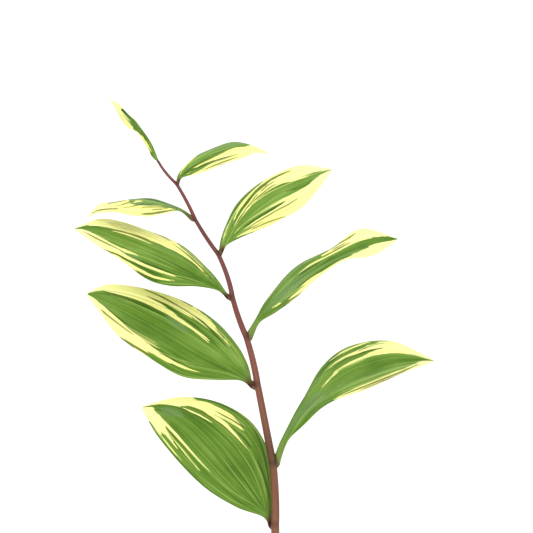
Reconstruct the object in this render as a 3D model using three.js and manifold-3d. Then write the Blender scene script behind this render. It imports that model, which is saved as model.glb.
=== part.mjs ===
// A potted variegated Solomon's seal: one arching, leafy stem in soil, in a plain terracotta pot.
// Millimetres, +Z up. The pot stands on z = 0 with its axis on the origin, and the front faces -Y.
import * as THREE from "three";
import { mergeVertices } from "three/addons/utils/BufferGeometryUtils.js";
import Module from "manifold-3d";

const wasm = await Module();
wasm.setup();

// Driving dimensions of the pot and the soil
const POT_HEIGHT = 115;
const POT_RIM_RADIUS = 65;
const POT_FOOT_RADIUS = 44;
const RIM_BAND_HEIGHT = 27;
const RIM_STEP = 5.5;
const POT_WALL = 5.2;
const POT_FLOOR = 7;
const DRAIN_RADIUS = 7;
const POT_SIDES = 40;
const BAND_SHOULDER = 2;
const FLOOR_FILLET = 3;
const FOOT_EDGE = 1.6;
const RIM_EDGE = 2.4;
const SOIL_DEPTH_BELOW_RIM = 14;
const SOIL_RELIEF = 1.3;
const SOIL_SLUMP = 2.5;
const SOIL_STEPS = 8;
const CLEARANCE = 0.3;

// Driving dimensions of the plant
const BLADE_THICKNESS = 0.7;
const FOOT_THICKNESS = 1.5;
const SLENDER_FOOT_THICKNESS = 0.84;
const FIRST_SLENDER_JOINT = 6;
const FOOT_SHARE = 0.1;
const PLEAT_HEIGHT = 0.3;
const PLEATS = 5;
const HALF_BULGE = 0.07;
const RIPPLE_RATE = 17;
const RIPPLE_SKEW = 2;
const ROWS = 21;
const COLUMNS = 10;
const STEM_SIDES = 8;
const NODE_SWELLING = 1.06;
const SHOULDER = 2.2;
const STUB_GAP = 1;
const STUB_SUNK_SHARE = 0.3;
const STUB_DEPTH_SHARE = 0.8;
const STUB_FOOT_SHARE = 0.25;
const SLIMMEST_STUB = 0.6;
const RINGS_A_STRETCH = 4;

// The plant's outlines are its front elevation, seen from a point this far in front of it. A point
// that lies further back than the pot's axis spreads from the line of sight in proportion.
const VIEW_DISTANCE = 1480;
const VIEW_X = 6;
const VIEW_Z = 353.25;

// The stem from its foot in the soil to its top: x, y, z, radius, and how far the stretch above bows
// sideways. Leaves grow at the joints.
const STEM_FOOT = [
  [4.6, -6, 79, 2.3, 0],
  [6.2, -5.6, 101, 2.25, 0.2],
  [8.2, -4.6, 142, 2.2, 0.3],
  [9.7, -3.4, 184, 2.15, 0.2],
];
const STEM_JOINTS = [
  [10.35, -2, 224.5, 2.05, 0.5],
  [9.15, -1, 255, 1.9, 0],
  [1.45, 0, 294.5, 1.7, 0.5],
  [-4.15, 1, 318, 1.5, -0.5],
  [-11.05, 2, 338, 1.3, 0.9],
  [-18.25, 3.5, 359.5, 1.1, -0.45],
  [-29.75, 6, 377, 0.95, 0.45],
  [-39, 8.5, 394.5, 0.8, -0.8],
  [-48.25, 11, 406, 0.62, 0],
];

// Each leaf, from its foot to its tip. Its root is where it springs from the stem, as x and z, and the
// outlines are x and z from that root, at eight stations that match along the three lines. bow is how
// far back the midrib lies at the foot, middle and tip, and the leans are the angles, at the same three
// places, by which the half above the midrib turns back and the half below it comes forward. wave is
// the depth of the ripples along the margins.
const LEAVES = [
  {
    name: "leaf_left_1",
    joint: 0,
    root: [10.25, 224.5],
    upper: [
      [-2.5, 3.5], [-1.75, 10.5], [-1.5, 22], [-4.75, 40],
      [-13.5, 52.75], [-30, 61.35], [-48.5, 63.5], [-66, 58.85],
    ],
    middle: [
      [-2.6, 1], [-4.75, 6.5], [-11.5, 14], [-20, 25.25],
      [-31, 38.5], [-42.5, 49.75], [-54.5, 57], [-66.25, 58.25],
    ],
    lower: [
      [-2.75, -1.5], [-6.25, 3.7], [-18.5, 8.1], [-33.5, 17.15],
      [-46.5, 29], [-57.25, 42.25], [-63, 51], [-66.35, 57.5],
    ],
    bow: [1.3, -4, -3],
    leanUp: [40, 26, 5],
    leanLow: [5, 24, 12],
    wave: 0.5,
  },
  {
    name: "leaf_right_1",
    joint: 1,
    root: [9.15, 254.5],
    upper: [
      [1.8, 6.1], [3.85, 11.75], [8.6, 20.6], [15, 33],
      [24.35, 48.4], [39.1, 59], [59.1, 61.6], [80.35, 52],
    ],
    middle: [
      [2.3, 3.3], [5.35, 10], [11.1, 20], [19.1, 30],
      [30.1, 38.25], [44.1, 45.5], [61.6, 51], [80.35, 51.6],
    ],
    lower: [
      [3.3, -0.2], [7.35, 11], [14.2, 18.4], [23.1, 26.9],
      [34.6, 33], [48.85, 38.6], [65.6, 45.5], [80.1, 51.25],
    ],
    bow: [0, -7, 2],
    leanUp: [15, 50, 15],
    leanLow: [15, 66, 45],
    wave: 0.5,
  },
  {
    name: "leaf_left_2",
    joint: 2,
    root: [1.25, 294.5],
    upper: [
      [-2.95, 2], [-4.35, 9], [-10, 19.5], [-20.5, 31.75],
      [-36.5, 41], [-57.5, 48.2], [-74, 49.85], [-84.5, 45.75],
    ],
    middle: [
      [-2.95, 0.2], [-7, 4], [-16, 10.5], [-28.5, 19],
      [-44.5, 29], [-62.5, 38.25], [-76, 43.25], [-84.5, 45],
    ],
    lower: [
      [-3, -2], [-8.5, 1.75], [-21.5, 2.1], [-38.5, 4],
      [-54.75, 13.75], [-69.5, 24.35], [-78.75, 36], [-84.75, 44.25],
    ],
    bow: [0, -7, -1],
    leanUp: [20, 42, 20],
    leanLow: [5, 22, 15],
    wave: 0.6,
  },
  {
    name: "leaf_right_2",
    joint: 3,
    root: [-3.75, 318],
    upper: [
      [0.7, 3.3], [4.95, 10.3], [9.75, 18.75], [17.75, 29],
      [28.5, 37.4], [42.25, 44.85], [57, 54.05], [75.15, 49.2],
    ],
    middle: [
      [1.6, 1.5], [5.6, 8.9], [11.5, 16], [20.5, 23.75],
      [31.5, 32], [45, 39.75], [59.5, 46], [75.25, 48.85],
    ],
    lower: [
      [2.65, -0.75], [6.5, 7.25], [14.25, 12.35], [23.75, 18.5],
      [34, 29], [48, 37.75], [63, 40.65], [74.9, 48.35],
    ],
    bow: [0, -7, 2],
    leanUp: [20, 66, 25],
    leanLow: [15, 72, 45],
    wave: 0.5,
  },
  {
    name: "leaf_left_3",
    joint: 4,
    root: [-11.1, 338],
    upper: [
      [-2.6, 1.9], [-4.25, 4.2], [-10.65, 13], [-21.15, 22.5],
      [-34.4, 30.4], [-50.65, 36.6], [-66.4, 38.8], [-78.4, 34.5],
    ],
    middle: [
      [-2.6, 0.5], [-6, 3.6], [-14.65, 9.25], [-25.15, 15.5],
      [-38.15, 21.85], [-53.65, 27.9], [-67.65, 32.85], [-78.65, 34],
    ],
    lower: [
      [-2.7, -0.9], [-7.65, 3.35], [-17.15, 5.15], [-30.65, 5.5],
      [-43.55, 9.75], [-56.95, 19.05], [-68.95, 26.85], [-78.65, 33.4],
    ],
    bow: [0, -6, 2],
    leanUp: [15, 58, 35],
    leanLow: [10, 40, 30],
    wave: 0.6,
  },
  {
    name: "leaf_right_3",
    joint: 5,
    root: [-17.5, 359.5],
    upper: [
      [-0.1, 2.65], [0.8, 8], [3.15, 14.75], [9, 25.1],
      [19.25, 35.25], [31.75, 41.6], [43, 44.4], [56.15, 42.4],
    ],
    middle: [
      [0.85, 1.85], [2.1, 5.5], [6.25, 12], [13.75, 20.5],
      [23.75, 27.75], [34.75, 33.25], [45.75, 38], [56, 42.1],
    ],
    lower: [
      [1.85, 1], [4, 4.65], [10.25, 7.9], [20.75, 12.5],
      [31.25, 17.4], [40.5, 22.6], [48.9, 31.75], [55.85, 41.6],
    ],
    bow: [0, -6, 1],
    leanUp: [15, 54, 35],
    leanLow: [10, 30, 20],
    wave: 0.4,
  },
  {
    name: "leaf_left_4",
    joint: 6,
    root: [-29.5, 377],
    upper: [
      [-3.25, 2.7], [-7.25, 5.3], [-13.75, 7.9], [-22.75, 10.3],
      [-32.25, 10.1], [-41.25, 8.2], [-48.25, 7.4], [-53.35, 1.75],
    ],
    middle: [
      [-2.95, 1], [-7.5, 4.6], [-14.25, 5.5], [-23.25, 5.25],
      [-32.75, 5.25], [-41.25, 5.25], [-48.25, 4.5], [-53.5, 1.25],
    ],
    lower: [
      [-2.35, -0.65], [-7.75, 3.75], [-14.75, 2.8], [-23.75, 1.5],
      [-33.25, 1.8], [-41.75, 3.5], [-49.25, 2.75], [-53, 1],
    ],
    bow: [0, -5, 0],
    leanUp: [15, 58, 30],
    leanLow: [15, 64, 40],
    wave: 0.3,
  },
  {
    name: "leaf_right_4",
    joint: 7,
    root: [-38.5, 394.5],
    upper: [
      [-0.45, 2], [0.4, 5], [4.1, 9.5], [10.75, 15],
      [20, 18.9], [29.25, 20.9], [38.25, 19.15], [45.4, 15.5],
    ],
    middle: [
      [0.35, 1.5], [1.5, 4], [6.25, 7.5], [13.75, 10.75],
      [22.25, 14], [30.75, 16.5], [38.25, 17.1], [45, 15.25],
    ],
    lower: [
      [1.15, 1.25], [2.75, 3.25], [9, 4.8], [17.25, 7.6],
      [25.25, 10.5], [33, 13.3], [39.25, 15.4], [45.35, 15],
    ],
    bow: [0, -4, 1],
    leanUp: [15, 56, 40],
    leanLow: [15, 60, 40],
    wave: 0.3,
  },
  {
    name: "leaf_top",
    joint: 8,
    root: [-48.25, 406],
    upper: [
      [0.1, 0.85], [-1.25, 4.5], [-3.75, 9.5], [-7, 14.75],
      [-10.75, 19.25], [-14.5, 23], [-19.25, 28.25], [-23.55, 30.3],
    ],
    middle: [
      [-0.38, 0.48], [-2.25, 3.5], [-5, 8.25], [-8, 13.25],
      [-12, 17.5], [-16, 22.5], [-20, 26.75], [-23.75, 30.25],
    ],
    lower: [
      [-0.85, 0.1], [-3.25, 2.6], [-6.25, 8.5], [-10, 13.65],
      [-15, 16.75], [-18.75, 21.5], [-21.5, 26.35], [-23.9, 30],
    ],
    bow: [0, -3, 1],
    leanUp: [10, 58, 40],
    leanLow: [10, 58, 40],
    wave: 0.3,
  },
];

const terracotta = new THREE.MeshStandardMaterial({ color: 0xb5633f, roughness: 0.85, metalness: 0 });
const earth = new THREE.MeshStandardMaterial({ color: 0x3b2a1e, roughness: 0.95, metalness: 0 });
const stemSkin = new THREE.MeshStandardMaterial({ color: 0x8a5548, roughness: 0.55, metalness: 0 });
const leafSkin = new THREE.MeshStandardMaterial({ color: 0x86b04e, roughness: 0.45, metalness: 0 });

// A smooth value through three given ones, at the start, middle and end.
function through([start, middle, end], t) {
  return start * (1 - t) * (1 - 2 * t) + 4 * middle * t * (1 - t) + end * t * (2 * t - 1);
}

// A point of the front elevation at its depth, spread from the line of sight.
function spread(x, y, z) {
  const factor = 1 + y / VIEW_DISTANCE;
  return new THREE.Vector3(VIEW_X + (x - VIEW_X) * factor, y, VIEW_Z + (z - VIEW_Z) * factor);
}

// Where a joint of the stem lies.
function jointPoint(index) {
  const [x, y, z] = STEM_JOINTS[index];
  return spread(x, y, z);
}

// A geometry from points and triangles given by index.
function meshed(points, faces) {
  const geometry = new THREE.BufferGeometry().setFromPoints(points);
  geometry.setIndex(faces);
  geometry.computeVertexNormals();
  return geometry;
}

// A closed geometry as a solid, for adding and cutting.
function toSolid(geometry) {
  const bare = geometry.clone();
  bare.deleteAttribute("normal");
  bare.deleteAttribute("uv");
  const merged = mergeVertices(bare, 1e-4);
  return new wasm.Manifold(
    new wasm.Mesh({
      numProp: 3,
      vertProperties: merged.attributes.position.array,
      triVerts: new Uint32Array(merged.index.array),
    }),
  );
}

// A solid as a geometry again.
function fromSolid(solid) {
  const mesh = solid.getMesh();
  const geometry = new THREE.BufferGeometry();
  geometry.setAttribute("position", new THREE.BufferAttribute(new Float32Array(mesh.vertProperties), 3));
  geometry.setIndex(new THREE.BufferAttribute(new Uint32Array(mesh.triVerts), 1));
  geometry.computeVertexNormals();
  return geometry;
}

// A closed tube through rings, each with a centre, a direction and a radius.
function tubeOf(rings, sides) {
  const points = [];
  const faces = [];
  for (const { centre, direction, radius } of rings) {
    const across = new THREE.Vector3(0, 1, 0).cross(direction).normalize();
    const outward = direction.clone().cross(across).normalize();
    for (let side = 0; side < sides; side += 1) {
      const angle = (2 * Math.PI * side) / sides;
      const point = centre.clone().addScaledVector(across, radius * Math.cos(angle));
      points.push(point.addScaledVector(outward, radius * Math.sin(angle)));
    }
  }
  for (let ring = 0; ring < rings.length - 1; ring += 1) {
    for (let side = 0; side < sides; side += 1) {
      const a = ring * sides + side;
      const b = ring * sides + ((side + 1) % sides);
      faces.push(a, b, b + sides, a, b + sides, a + sides);
    }
  }
  const first = points.length;
  points.push(rings[0].centre, rings[rings.length - 1].centre);
  for (let side = 0; side < sides; side += 1) {
    const next = (side + 1) % sides;
    const last = (rings.length - 1) * sides;
    faces.push(first, next, side, first + 1, last + side, last + next);
  }
  return meshed(points, faces);
}

// The stem's rings: straight between joints, with a swelling at each joint.
function stemRings(extra = 0) {
  const stations = [...STEM_FOOT, ...STEM_JOINTS].map(([x, y, z, radius, bow]) => ({
    centre: spread(x, y, z),
    radius: radius + extra,
    bow,
  }));
  const rings = [];
  stations.forEach((station, index) => {
    const before = stations[index - 1];
    const after = stations[index + 1];
    const direction = (after || station).centre.clone().sub((before || station).centre).normalize();
    const swelling = before && after && index >= STEM_FOOT.length ? NODE_SWELLING : 1;
    rings.push({ centre: station.centre, direction, radius: station.radius * swelling });
    if (!after) return;
    const span = station.centre.distanceTo(after.centre);
    const along = after.centre.clone().sub(station.centre).normalize();
    for (const share of [SHOULDER / span, 0.5, 1 - SHOULDER / span]) {
      const centre = station.centre.clone().lerp(after.centre, share);
      centre.x += station.bow * 4 * share * (1 - share);
      const radius = THREE.MathUtils.lerp(station.radius, after.radius, share);
      rings.push({ centre, direction: along, radius });
    }
  });
  return rings;
}

// The short swollen stub on the stem that a leaf's foot sits against.
function stubSolid(leaf) {
  const [jointX, , jointZ, radius] = STEM_JOINTS[leaf.joint];
  const reachX = leaf.root[0] + leaf.middle[0][0] - jointX;
  const reachZ = leaf.root[1] + leaf.middle[0][1] - jointZ;
  const foot = Math.hypot(leaf.upper[0][0] - leaf.lower[0][0], leaf.upper[0][1] - leaf.lower[0][1]);
  const reach = Math.hypot(reachX, reachZ) - STUB_GAP;
  const sunk = STUB_SUNK_SHARE * radius;
  const halfHeight = Math.max(STUB_FOOT_SHARE * foot, SLIMMEST_STUB);
  const stub = new THREE.SphereGeometry(1, 8, 6);
  stub.scale((reach + sunk) / 2, STUB_DEPTH_SHARE * radius, halfHeight);
  stub.translate((reach - sunk) / 2, 0, 0);
  stub.rotateY(-Math.atan2(reachZ, reachX));
  stub.translate(...jointPoint(leaf.joint).toArray());
  return toSolid(stub);
}

// The stem with the stubs of all its leaves but the top one, which ends it.
function makeStem() {
  let solid = toSolid(tubeOf(stemRings(), STEM_SIDES));
  for (const leaf of LEAVES.slice(0, -1)) {
    solid = solid.add(stubSolid(leaf));
  }
  return new THREE.Mesh(fromSolid(solid), stemSkin);
}

// A smooth line through the stations of an outline.
function curveOf(outline) {
  return new THREE.SplineCurve(outline.map(([x, z]) => new THREE.Vector2(x, z)));
}

// A point of a leaf's middle layer. t runs from foot to tip, s from -1 at the lower margin to 1 at the
// upper one.
function layerPoint(leaf, curves, t, s) {
  const [rootX, rootZ] = leaf.root;
  const rootY = STEM_JOINTS[leaf.joint][1];
  const middle = curves.middle.getPoint(t);
  const out = (s < 0 ? curves.lower : curves.upper).getPoint(t).sub(middle);
  const lean = THREE.MathUtils.degToRad(through(s < 0 ? leaf.leanLow : leaf.leanUp, t));
  const back = through(leaf.bow, t) + s * out.length() * Math.tan(lean);
  const half = Math.abs(s);
  return spread(rootX + middle.x + half * out.x, rootY + back, rootZ + middle.y + half * out.y);
}

// How far the blade stands out of its middle layer: each half bulges, pleats run from foot to tip, and
// the margins ripple.
function relief(leaf, t, s, halfWidth) {
  const fade = Math.sin(Math.PI * THREE.MathUtils.clamp((t - FOOT_SHARE) / (1 - FOOT_SHARE), 0, 1));
  const half = Math.abs(s);
  const bulge = HALF_BULGE * halfWidth * 4 * half * (1 - half);
  const pleat = -PLEAT_HEIGHT * Math.cos(Math.PI * PLEATS * s) * (1 - half ** 4);
  const ripple = leaf.wave * half ** 3 * Math.sin(RIPPLE_RATE * t + RIPPLE_SKEW * s + leaf.joint);
  return fade * (bulge + pleat + ripple);
}

// A leaf as one closed body: the same net of points on both faces, split into triangles alike.
function makeLeaf(leaf) {
  const curves = {
    upper: curveOf(leaf.upper),
    middle: curveOf(leaf.middle),
    lower: curveOf(leaf.lower),
  };
  const wide = COLUMNS + 1;
  const layer = [];
  for (let row = 0; row <= ROWS; row += 1) {
    for (let column = 0; column <= COLUMNS; column += 1) {
      layer.push(layerPoint(leaf, curves, row / ROWS, (2 * column) / COLUMNS - 1));
    }
  }
  const at = (row, column) =>
    layer[THREE.MathUtils.clamp(row, 0, ROWS) * wide + THREE.MathUtils.clamp(column, 0, COLUMNS)];
  const joint = jointPoint(leaf.joint);
  const thickest = leaf.joint < FIRST_SLENDER_JOINT ? FOOT_THICKNESS : SLENDER_FOOT_THICKNESS;
  const front = [];
  const rear = [];
  for (let row = 0; row <= ROWS; row += 1) {
    const t = row / ROWS;
    for (let column = 0; column <= COLUMNS; column += 1) {
      const s = (2 * column) / COLUMNS - 1;
      const lengthways = at(row + 1, column).clone().sub(at(row - 1, column));
      const crossways = at(row, column + 1).clone().sub(at(row, column - 1));
      const normal = lengthways.cross(crossways).normalize();
      normal.multiplyScalar(-Math.sign(normal.y));
      const edge = at(row, s < 0 ? 0 : COLUMNS);
      const halfWidth = edge.distanceTo(at(row, COLUMNS / 2));
      const centre = at(row, column).clone().sub(joint);
      centre.addScaledVector(normal, relief(leaf, t, s, halfWidth));
      const neck = THREE.MathUtils.smoothstep(t, 0, FOOT_SHARE);
      const half = THREE.MathUtils.lerp(FOOT_THICKNESS, BLADE_THICKNESS, neck) / 2;
      const inset = Math.min(half, thickest / 2);
      front.push(centre.clone().addScaledVector(normal, inset));
      rear.push(centre.clone().addScaledVector(normal, -inset));
    }
  }
  const behind = front.length;
  const faces = [];
  const sheet = (a, b, c) => {
    faces.push(a, b, c);
    faces.push(behind + a, behind + c, behind + b);
  };
  const rim = (a, b) => {
    faces.push(a, behind + a, behind + b, a, behind + b, b);
  };
  for (let row = 0; row < ROWS; row += 1) {
    for (let column = 0; column < COLUMNS; column += 1) {
      const a = row * wide + column;
      sheet(a, a + 1, a + wide + 1);
      sheet(a, a + wide + 1, a + wide);
    }
    rim(row * wide + wide, row * wide);
    rim(row * wide + COLUMNS, row * wide + wide + COLUMNS);
  }
  for (let column = 0; column < COLUMNS; column += 1) {
    rim(column, column + 1);
    rim(ROWS * wide + column + 1, ROWS * wide + column);
  }
  const rightward = leaf.middle[leaf.middle.length - 1][0] > 0;
  if (rightward) {
    for (let corner = 0; corner < faces.length; corner += 3) {
      [faces[corner + 1], faces[corner + 2]] = [faces[corner + 2], faces[corner + 1]];
    }
  }
  const mesh = new THREE.Mesh(meshed([...front, ...rear], faces), leafSkin);
  mesh.position.copy(joint);
  return mesh;
}

// The height at which the pot's rim band starts, and its outer radius just below that.
const BAND_FOOT = POT_HEIGHT - RIM_BAND_HEIGHT;
const BODY_TOP_RADIUS = POT_RIM_RADIUS - RIM_STEP - BAND_SHOULDER;

// The pot's inner radius at a height above its underside.
function innerRadius(z) {
  const low = POT_FOOT_RADIUS - POT_WALL;
  const shoulder = BODY_TOP_RADIUS - POT_WALL;
  if (z < BAND_FOOT) return THREE.MathUtils.mapLinear(z, POT_FLOOR, BAND_FOOT, low, shoulder);
  return THREE.MathUtils.mapLinear(z, BAND_FOOT, POT_HEIGHT, shoulder, POT_RIM_RADIUS - POT_WALL);
}

// The pot: a turned wall with a heavy rim band, open at the top and at the drainage hole.
function makePot() {
  const profile = [
    [DRAIN_RADIUS, 0],
    [POT_FOOT_RADIUS - FOOT_EDGE, 0],
    [POT_FOOT_RADIUS, FOOT_EDGE],
    [BODY_TOP_RADIUS, BAND_FOOT - 1],
    [POT_RIM_RADIUS - 3.2, BAND_FOOT],
    [POT_RIM_RADIUS - 1.8, BAND_FOOT + 1.6],
    [POT_RIM_RADIUS, POT_HEIGHT - 2.2],
    [POT_RIM_RADIUS - 1, POT_HEIGHT - 0.4],
    [POT_RIM_RADIUS - RIM_EDGE, POT_HEIGHT],
    [POT_RIM_RADIUS - POT_WALL + 1, POT_HEIGHT - 0.2],
    [innerRadius(POT_HEIGHT - RIM_EDGE), POT_HEIGHT - RIM_EDGE],
    [innerRadius(BAND_FOOT), BAND_FOOT],
    [innerRadius(POT_FLOOR + FLOOR_FILLET), POT_FLOOR + FLOOR_FILLET],
    [innerRadius(POT_FLOOR) - FLOOR_FILLET, POT_FLOOR],
    [DRAIN_RADIUS + 1, POT_FLOOR],
    [DRAIN_RADIUS, POT_FLOOR - 1],
  ];
  const points = profile.map(([radius, height]) => new THREE.Vector2(radius, height));
  points.push(points[0].clone());
  const pot = new THREE.LatheGeometry(points, POT_SIDES);
  pot.rotateX(Math.PI / 2);
  return new THREE.Mesh(pot, terracotta);
}

// Crumbly ground: a few crossing ripples of unlike lengths.
function crumble(x, y) {
  const broad = Math.sin(0.11 * x + 1.3) * Math.cos(0.13 * y - 0.4);
  const fine = Math.sin(0.43 * x + 0.21 * y) * Math.sin(0.37 * y - 0.19 * x + 2.1);
  const grain = Math.sin(0.97 * x - 0.6 * y + 0.7) * Math.cos(0.88 * y + 0.5 * x);
  return SOIL_RELIEF * (0.45 * broad + 0.35 * fine + 0.3 * grain);
}

// A round of points at one height, or at the height that a function of x and y gives.
function roundOf(radius, heightAt) {
  const round = [];
  for (let side = 0; side < POT_SIDES; side += 1) {
    const angle = (2 * Math.PI * side) / POT_SIDES;
    const x = radius * Math.cos(angle);
    const y = radius * Math.sin(angle);
    round.push(new THREE.Vector3(x, y, heightAt(x, y)));
  }
  return round;
}

// The soil: it fills the pot, with a plain blind hole that the stem stands in.
function makeSoil() {
  const surface = POT_HEIGHT - SOIL_DEPTH_BELOW_RIM;
  const edgeHeight = surface - SOIL_SLUMP;
  const edgeRadius = innerRadius(edgeHeight - SOIL_RELIEF) - CLEARANCE;
  const points = [];
  for (let step = 1; step < SOIL_STEPS; step += 1) {
    points.push(...roundOf((edgeRadius * step) / SOIL_STEPS, (x, y) => surface + crumble(x, y)));
  }
  const rounds = [
    [edgeRadius, (x, y) => edgeHeight + crumble(x, y)],
    [innerRadius(BAND_FOOT) - CLEARANCE, () => BAND_FOOT],
    [innerRadius(POT_FLOOR + FLOOR_FILLET) - CLEARANCE, () => POT_FLOOR + FLOOR_FILLET + CLEARANCE],
    [innerRadius(POT_FLOOR) - FLOOR_FILLET - CLEARANCE, () => POT_FLOOR + CLEARANCE],
  ];
  for (const [radius, heightAt] of rounds) {
    points.push(...roundOf(radius, heightAt));
  }
  const faces = [];
  const last = points.length - POT_SIDES;
  for (let start = 0; start < last; start += POT_SIDES) {
    for (let side = 0; side < POT_SIDES; side += 1) {
      const a = start + side;
      const b = start + ((side + 1) % POT_SIDES);
      faces.push(a, b + POT_SIDES, b, a, a + POT_SIDES, b + POT_SIDES);
    }
  }
  const crown = points.length;
  points.push(new THREE.Vector3(0, 0, surface + crumble(0, 0)));
  points.push(new THREE.Vector3(0, 0, POT_FLOOR + CLEARANCE));
  for (let side = 0; side < POT_SIDES; side += 1) {
    const next = (side + 1) % POT_SIDES;
    faces.push(crown, side, next, crown + 1, last + next, last + side);
  }
  const inGround = stemRings(CLEARANCE).slice(0, 2 * RINGS_A_STRETCH);
  const deeper = inGround[0].direction.clone().multiplyScalar(-CLEARANCE);
  inGround[0].centre = inGround[0].centre.clone().add(deeper);
  const hole = toSolid(tubeOf(inGround, STEM_SIDES));
  return new THREE.Mesh(fromSolid(toSolid(meshed(points, faces)).subtract(hole)), earth);
}

const plant = new THREE.Group();
const parts = { pot: makePot(), soil: makeSoil(), stem: makeStem() };
for (const leaf of LEAVES) {
  parts[leaf.name] = makeLeaf(leaf);
}
for (const [name, mesh] of Object.entries(parts)) {
  mesh.name = name;
  plant.add(mesh);
}

export default plant;
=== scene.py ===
import math

import bmesh
import bpy
import numpy as np
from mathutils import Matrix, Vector


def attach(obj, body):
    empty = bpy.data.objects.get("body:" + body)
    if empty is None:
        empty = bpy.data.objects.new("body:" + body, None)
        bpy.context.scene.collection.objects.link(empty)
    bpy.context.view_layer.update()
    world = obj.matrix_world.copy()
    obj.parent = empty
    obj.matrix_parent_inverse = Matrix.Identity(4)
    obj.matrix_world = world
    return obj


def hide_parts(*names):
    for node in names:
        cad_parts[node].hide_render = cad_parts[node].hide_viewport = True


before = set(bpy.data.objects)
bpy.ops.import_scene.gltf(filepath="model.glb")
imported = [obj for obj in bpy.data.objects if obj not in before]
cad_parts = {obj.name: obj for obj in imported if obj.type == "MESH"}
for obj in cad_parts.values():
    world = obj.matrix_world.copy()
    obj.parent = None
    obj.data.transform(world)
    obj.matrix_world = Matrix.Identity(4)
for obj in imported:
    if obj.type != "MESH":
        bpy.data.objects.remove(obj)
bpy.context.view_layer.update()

bl_info = {
    "name": "Potted variegated Solomon's seal",
    "version": (1, 0, 0),
    "blender": (4, 5, 0),
    "location": "3D View > Sidebar > Plant",
    "description": "Builds an arching, cream-edged leafy stem in a clay pot round its solid model",
    "category": "Add Mesh",
}

MM = 0.001

# The plant's outlines are its front elevation, in millimetres, seen from a point this far in front.
VIEW_DISTANCE = 1480.0
VIEW_X = 6.0
VIEW_Z = 353.25

# The camera's lens and film widths, in millimetres
LENS = 200.0
FILM_WIDTH = 36.0

# The stem from its foot in the soil to its top: x, y, z, radius, and how far the stretch above bows
# sideways. Leaves grow at the joints.
STEM_FOOT = [
    (4.6, -6, 79, 2.3, 0),
    (6.2, -5.6, 101, 2.25, 0.2),
    (8.2, -4.6, 142, 2.2, 0.3),
    (9.7, -3.4, 184, 2.15, 0.2),
]
STEM_JOINTS = [
    (10.35, -2, 224.5, 2.05, 0.5),
    (9.15, -1, 255, 1.9, 0),
    (1.45, 0, 294.5, 1.7, 0.5),
    (-4.15, 1, 318, 1.5, -0.5),
    (-11.05, 2, 338, 1.3, 0.9),
    (-18.25, 3.5, 359.5, 1.1, -0.45),
    (-29.75, 6, 377, 0.95, 0.45),
    (-39, 8.5, 394.5, 0.8, -0.8),
    (-48.25, 11, 406, 0.62, 0),
]

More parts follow.
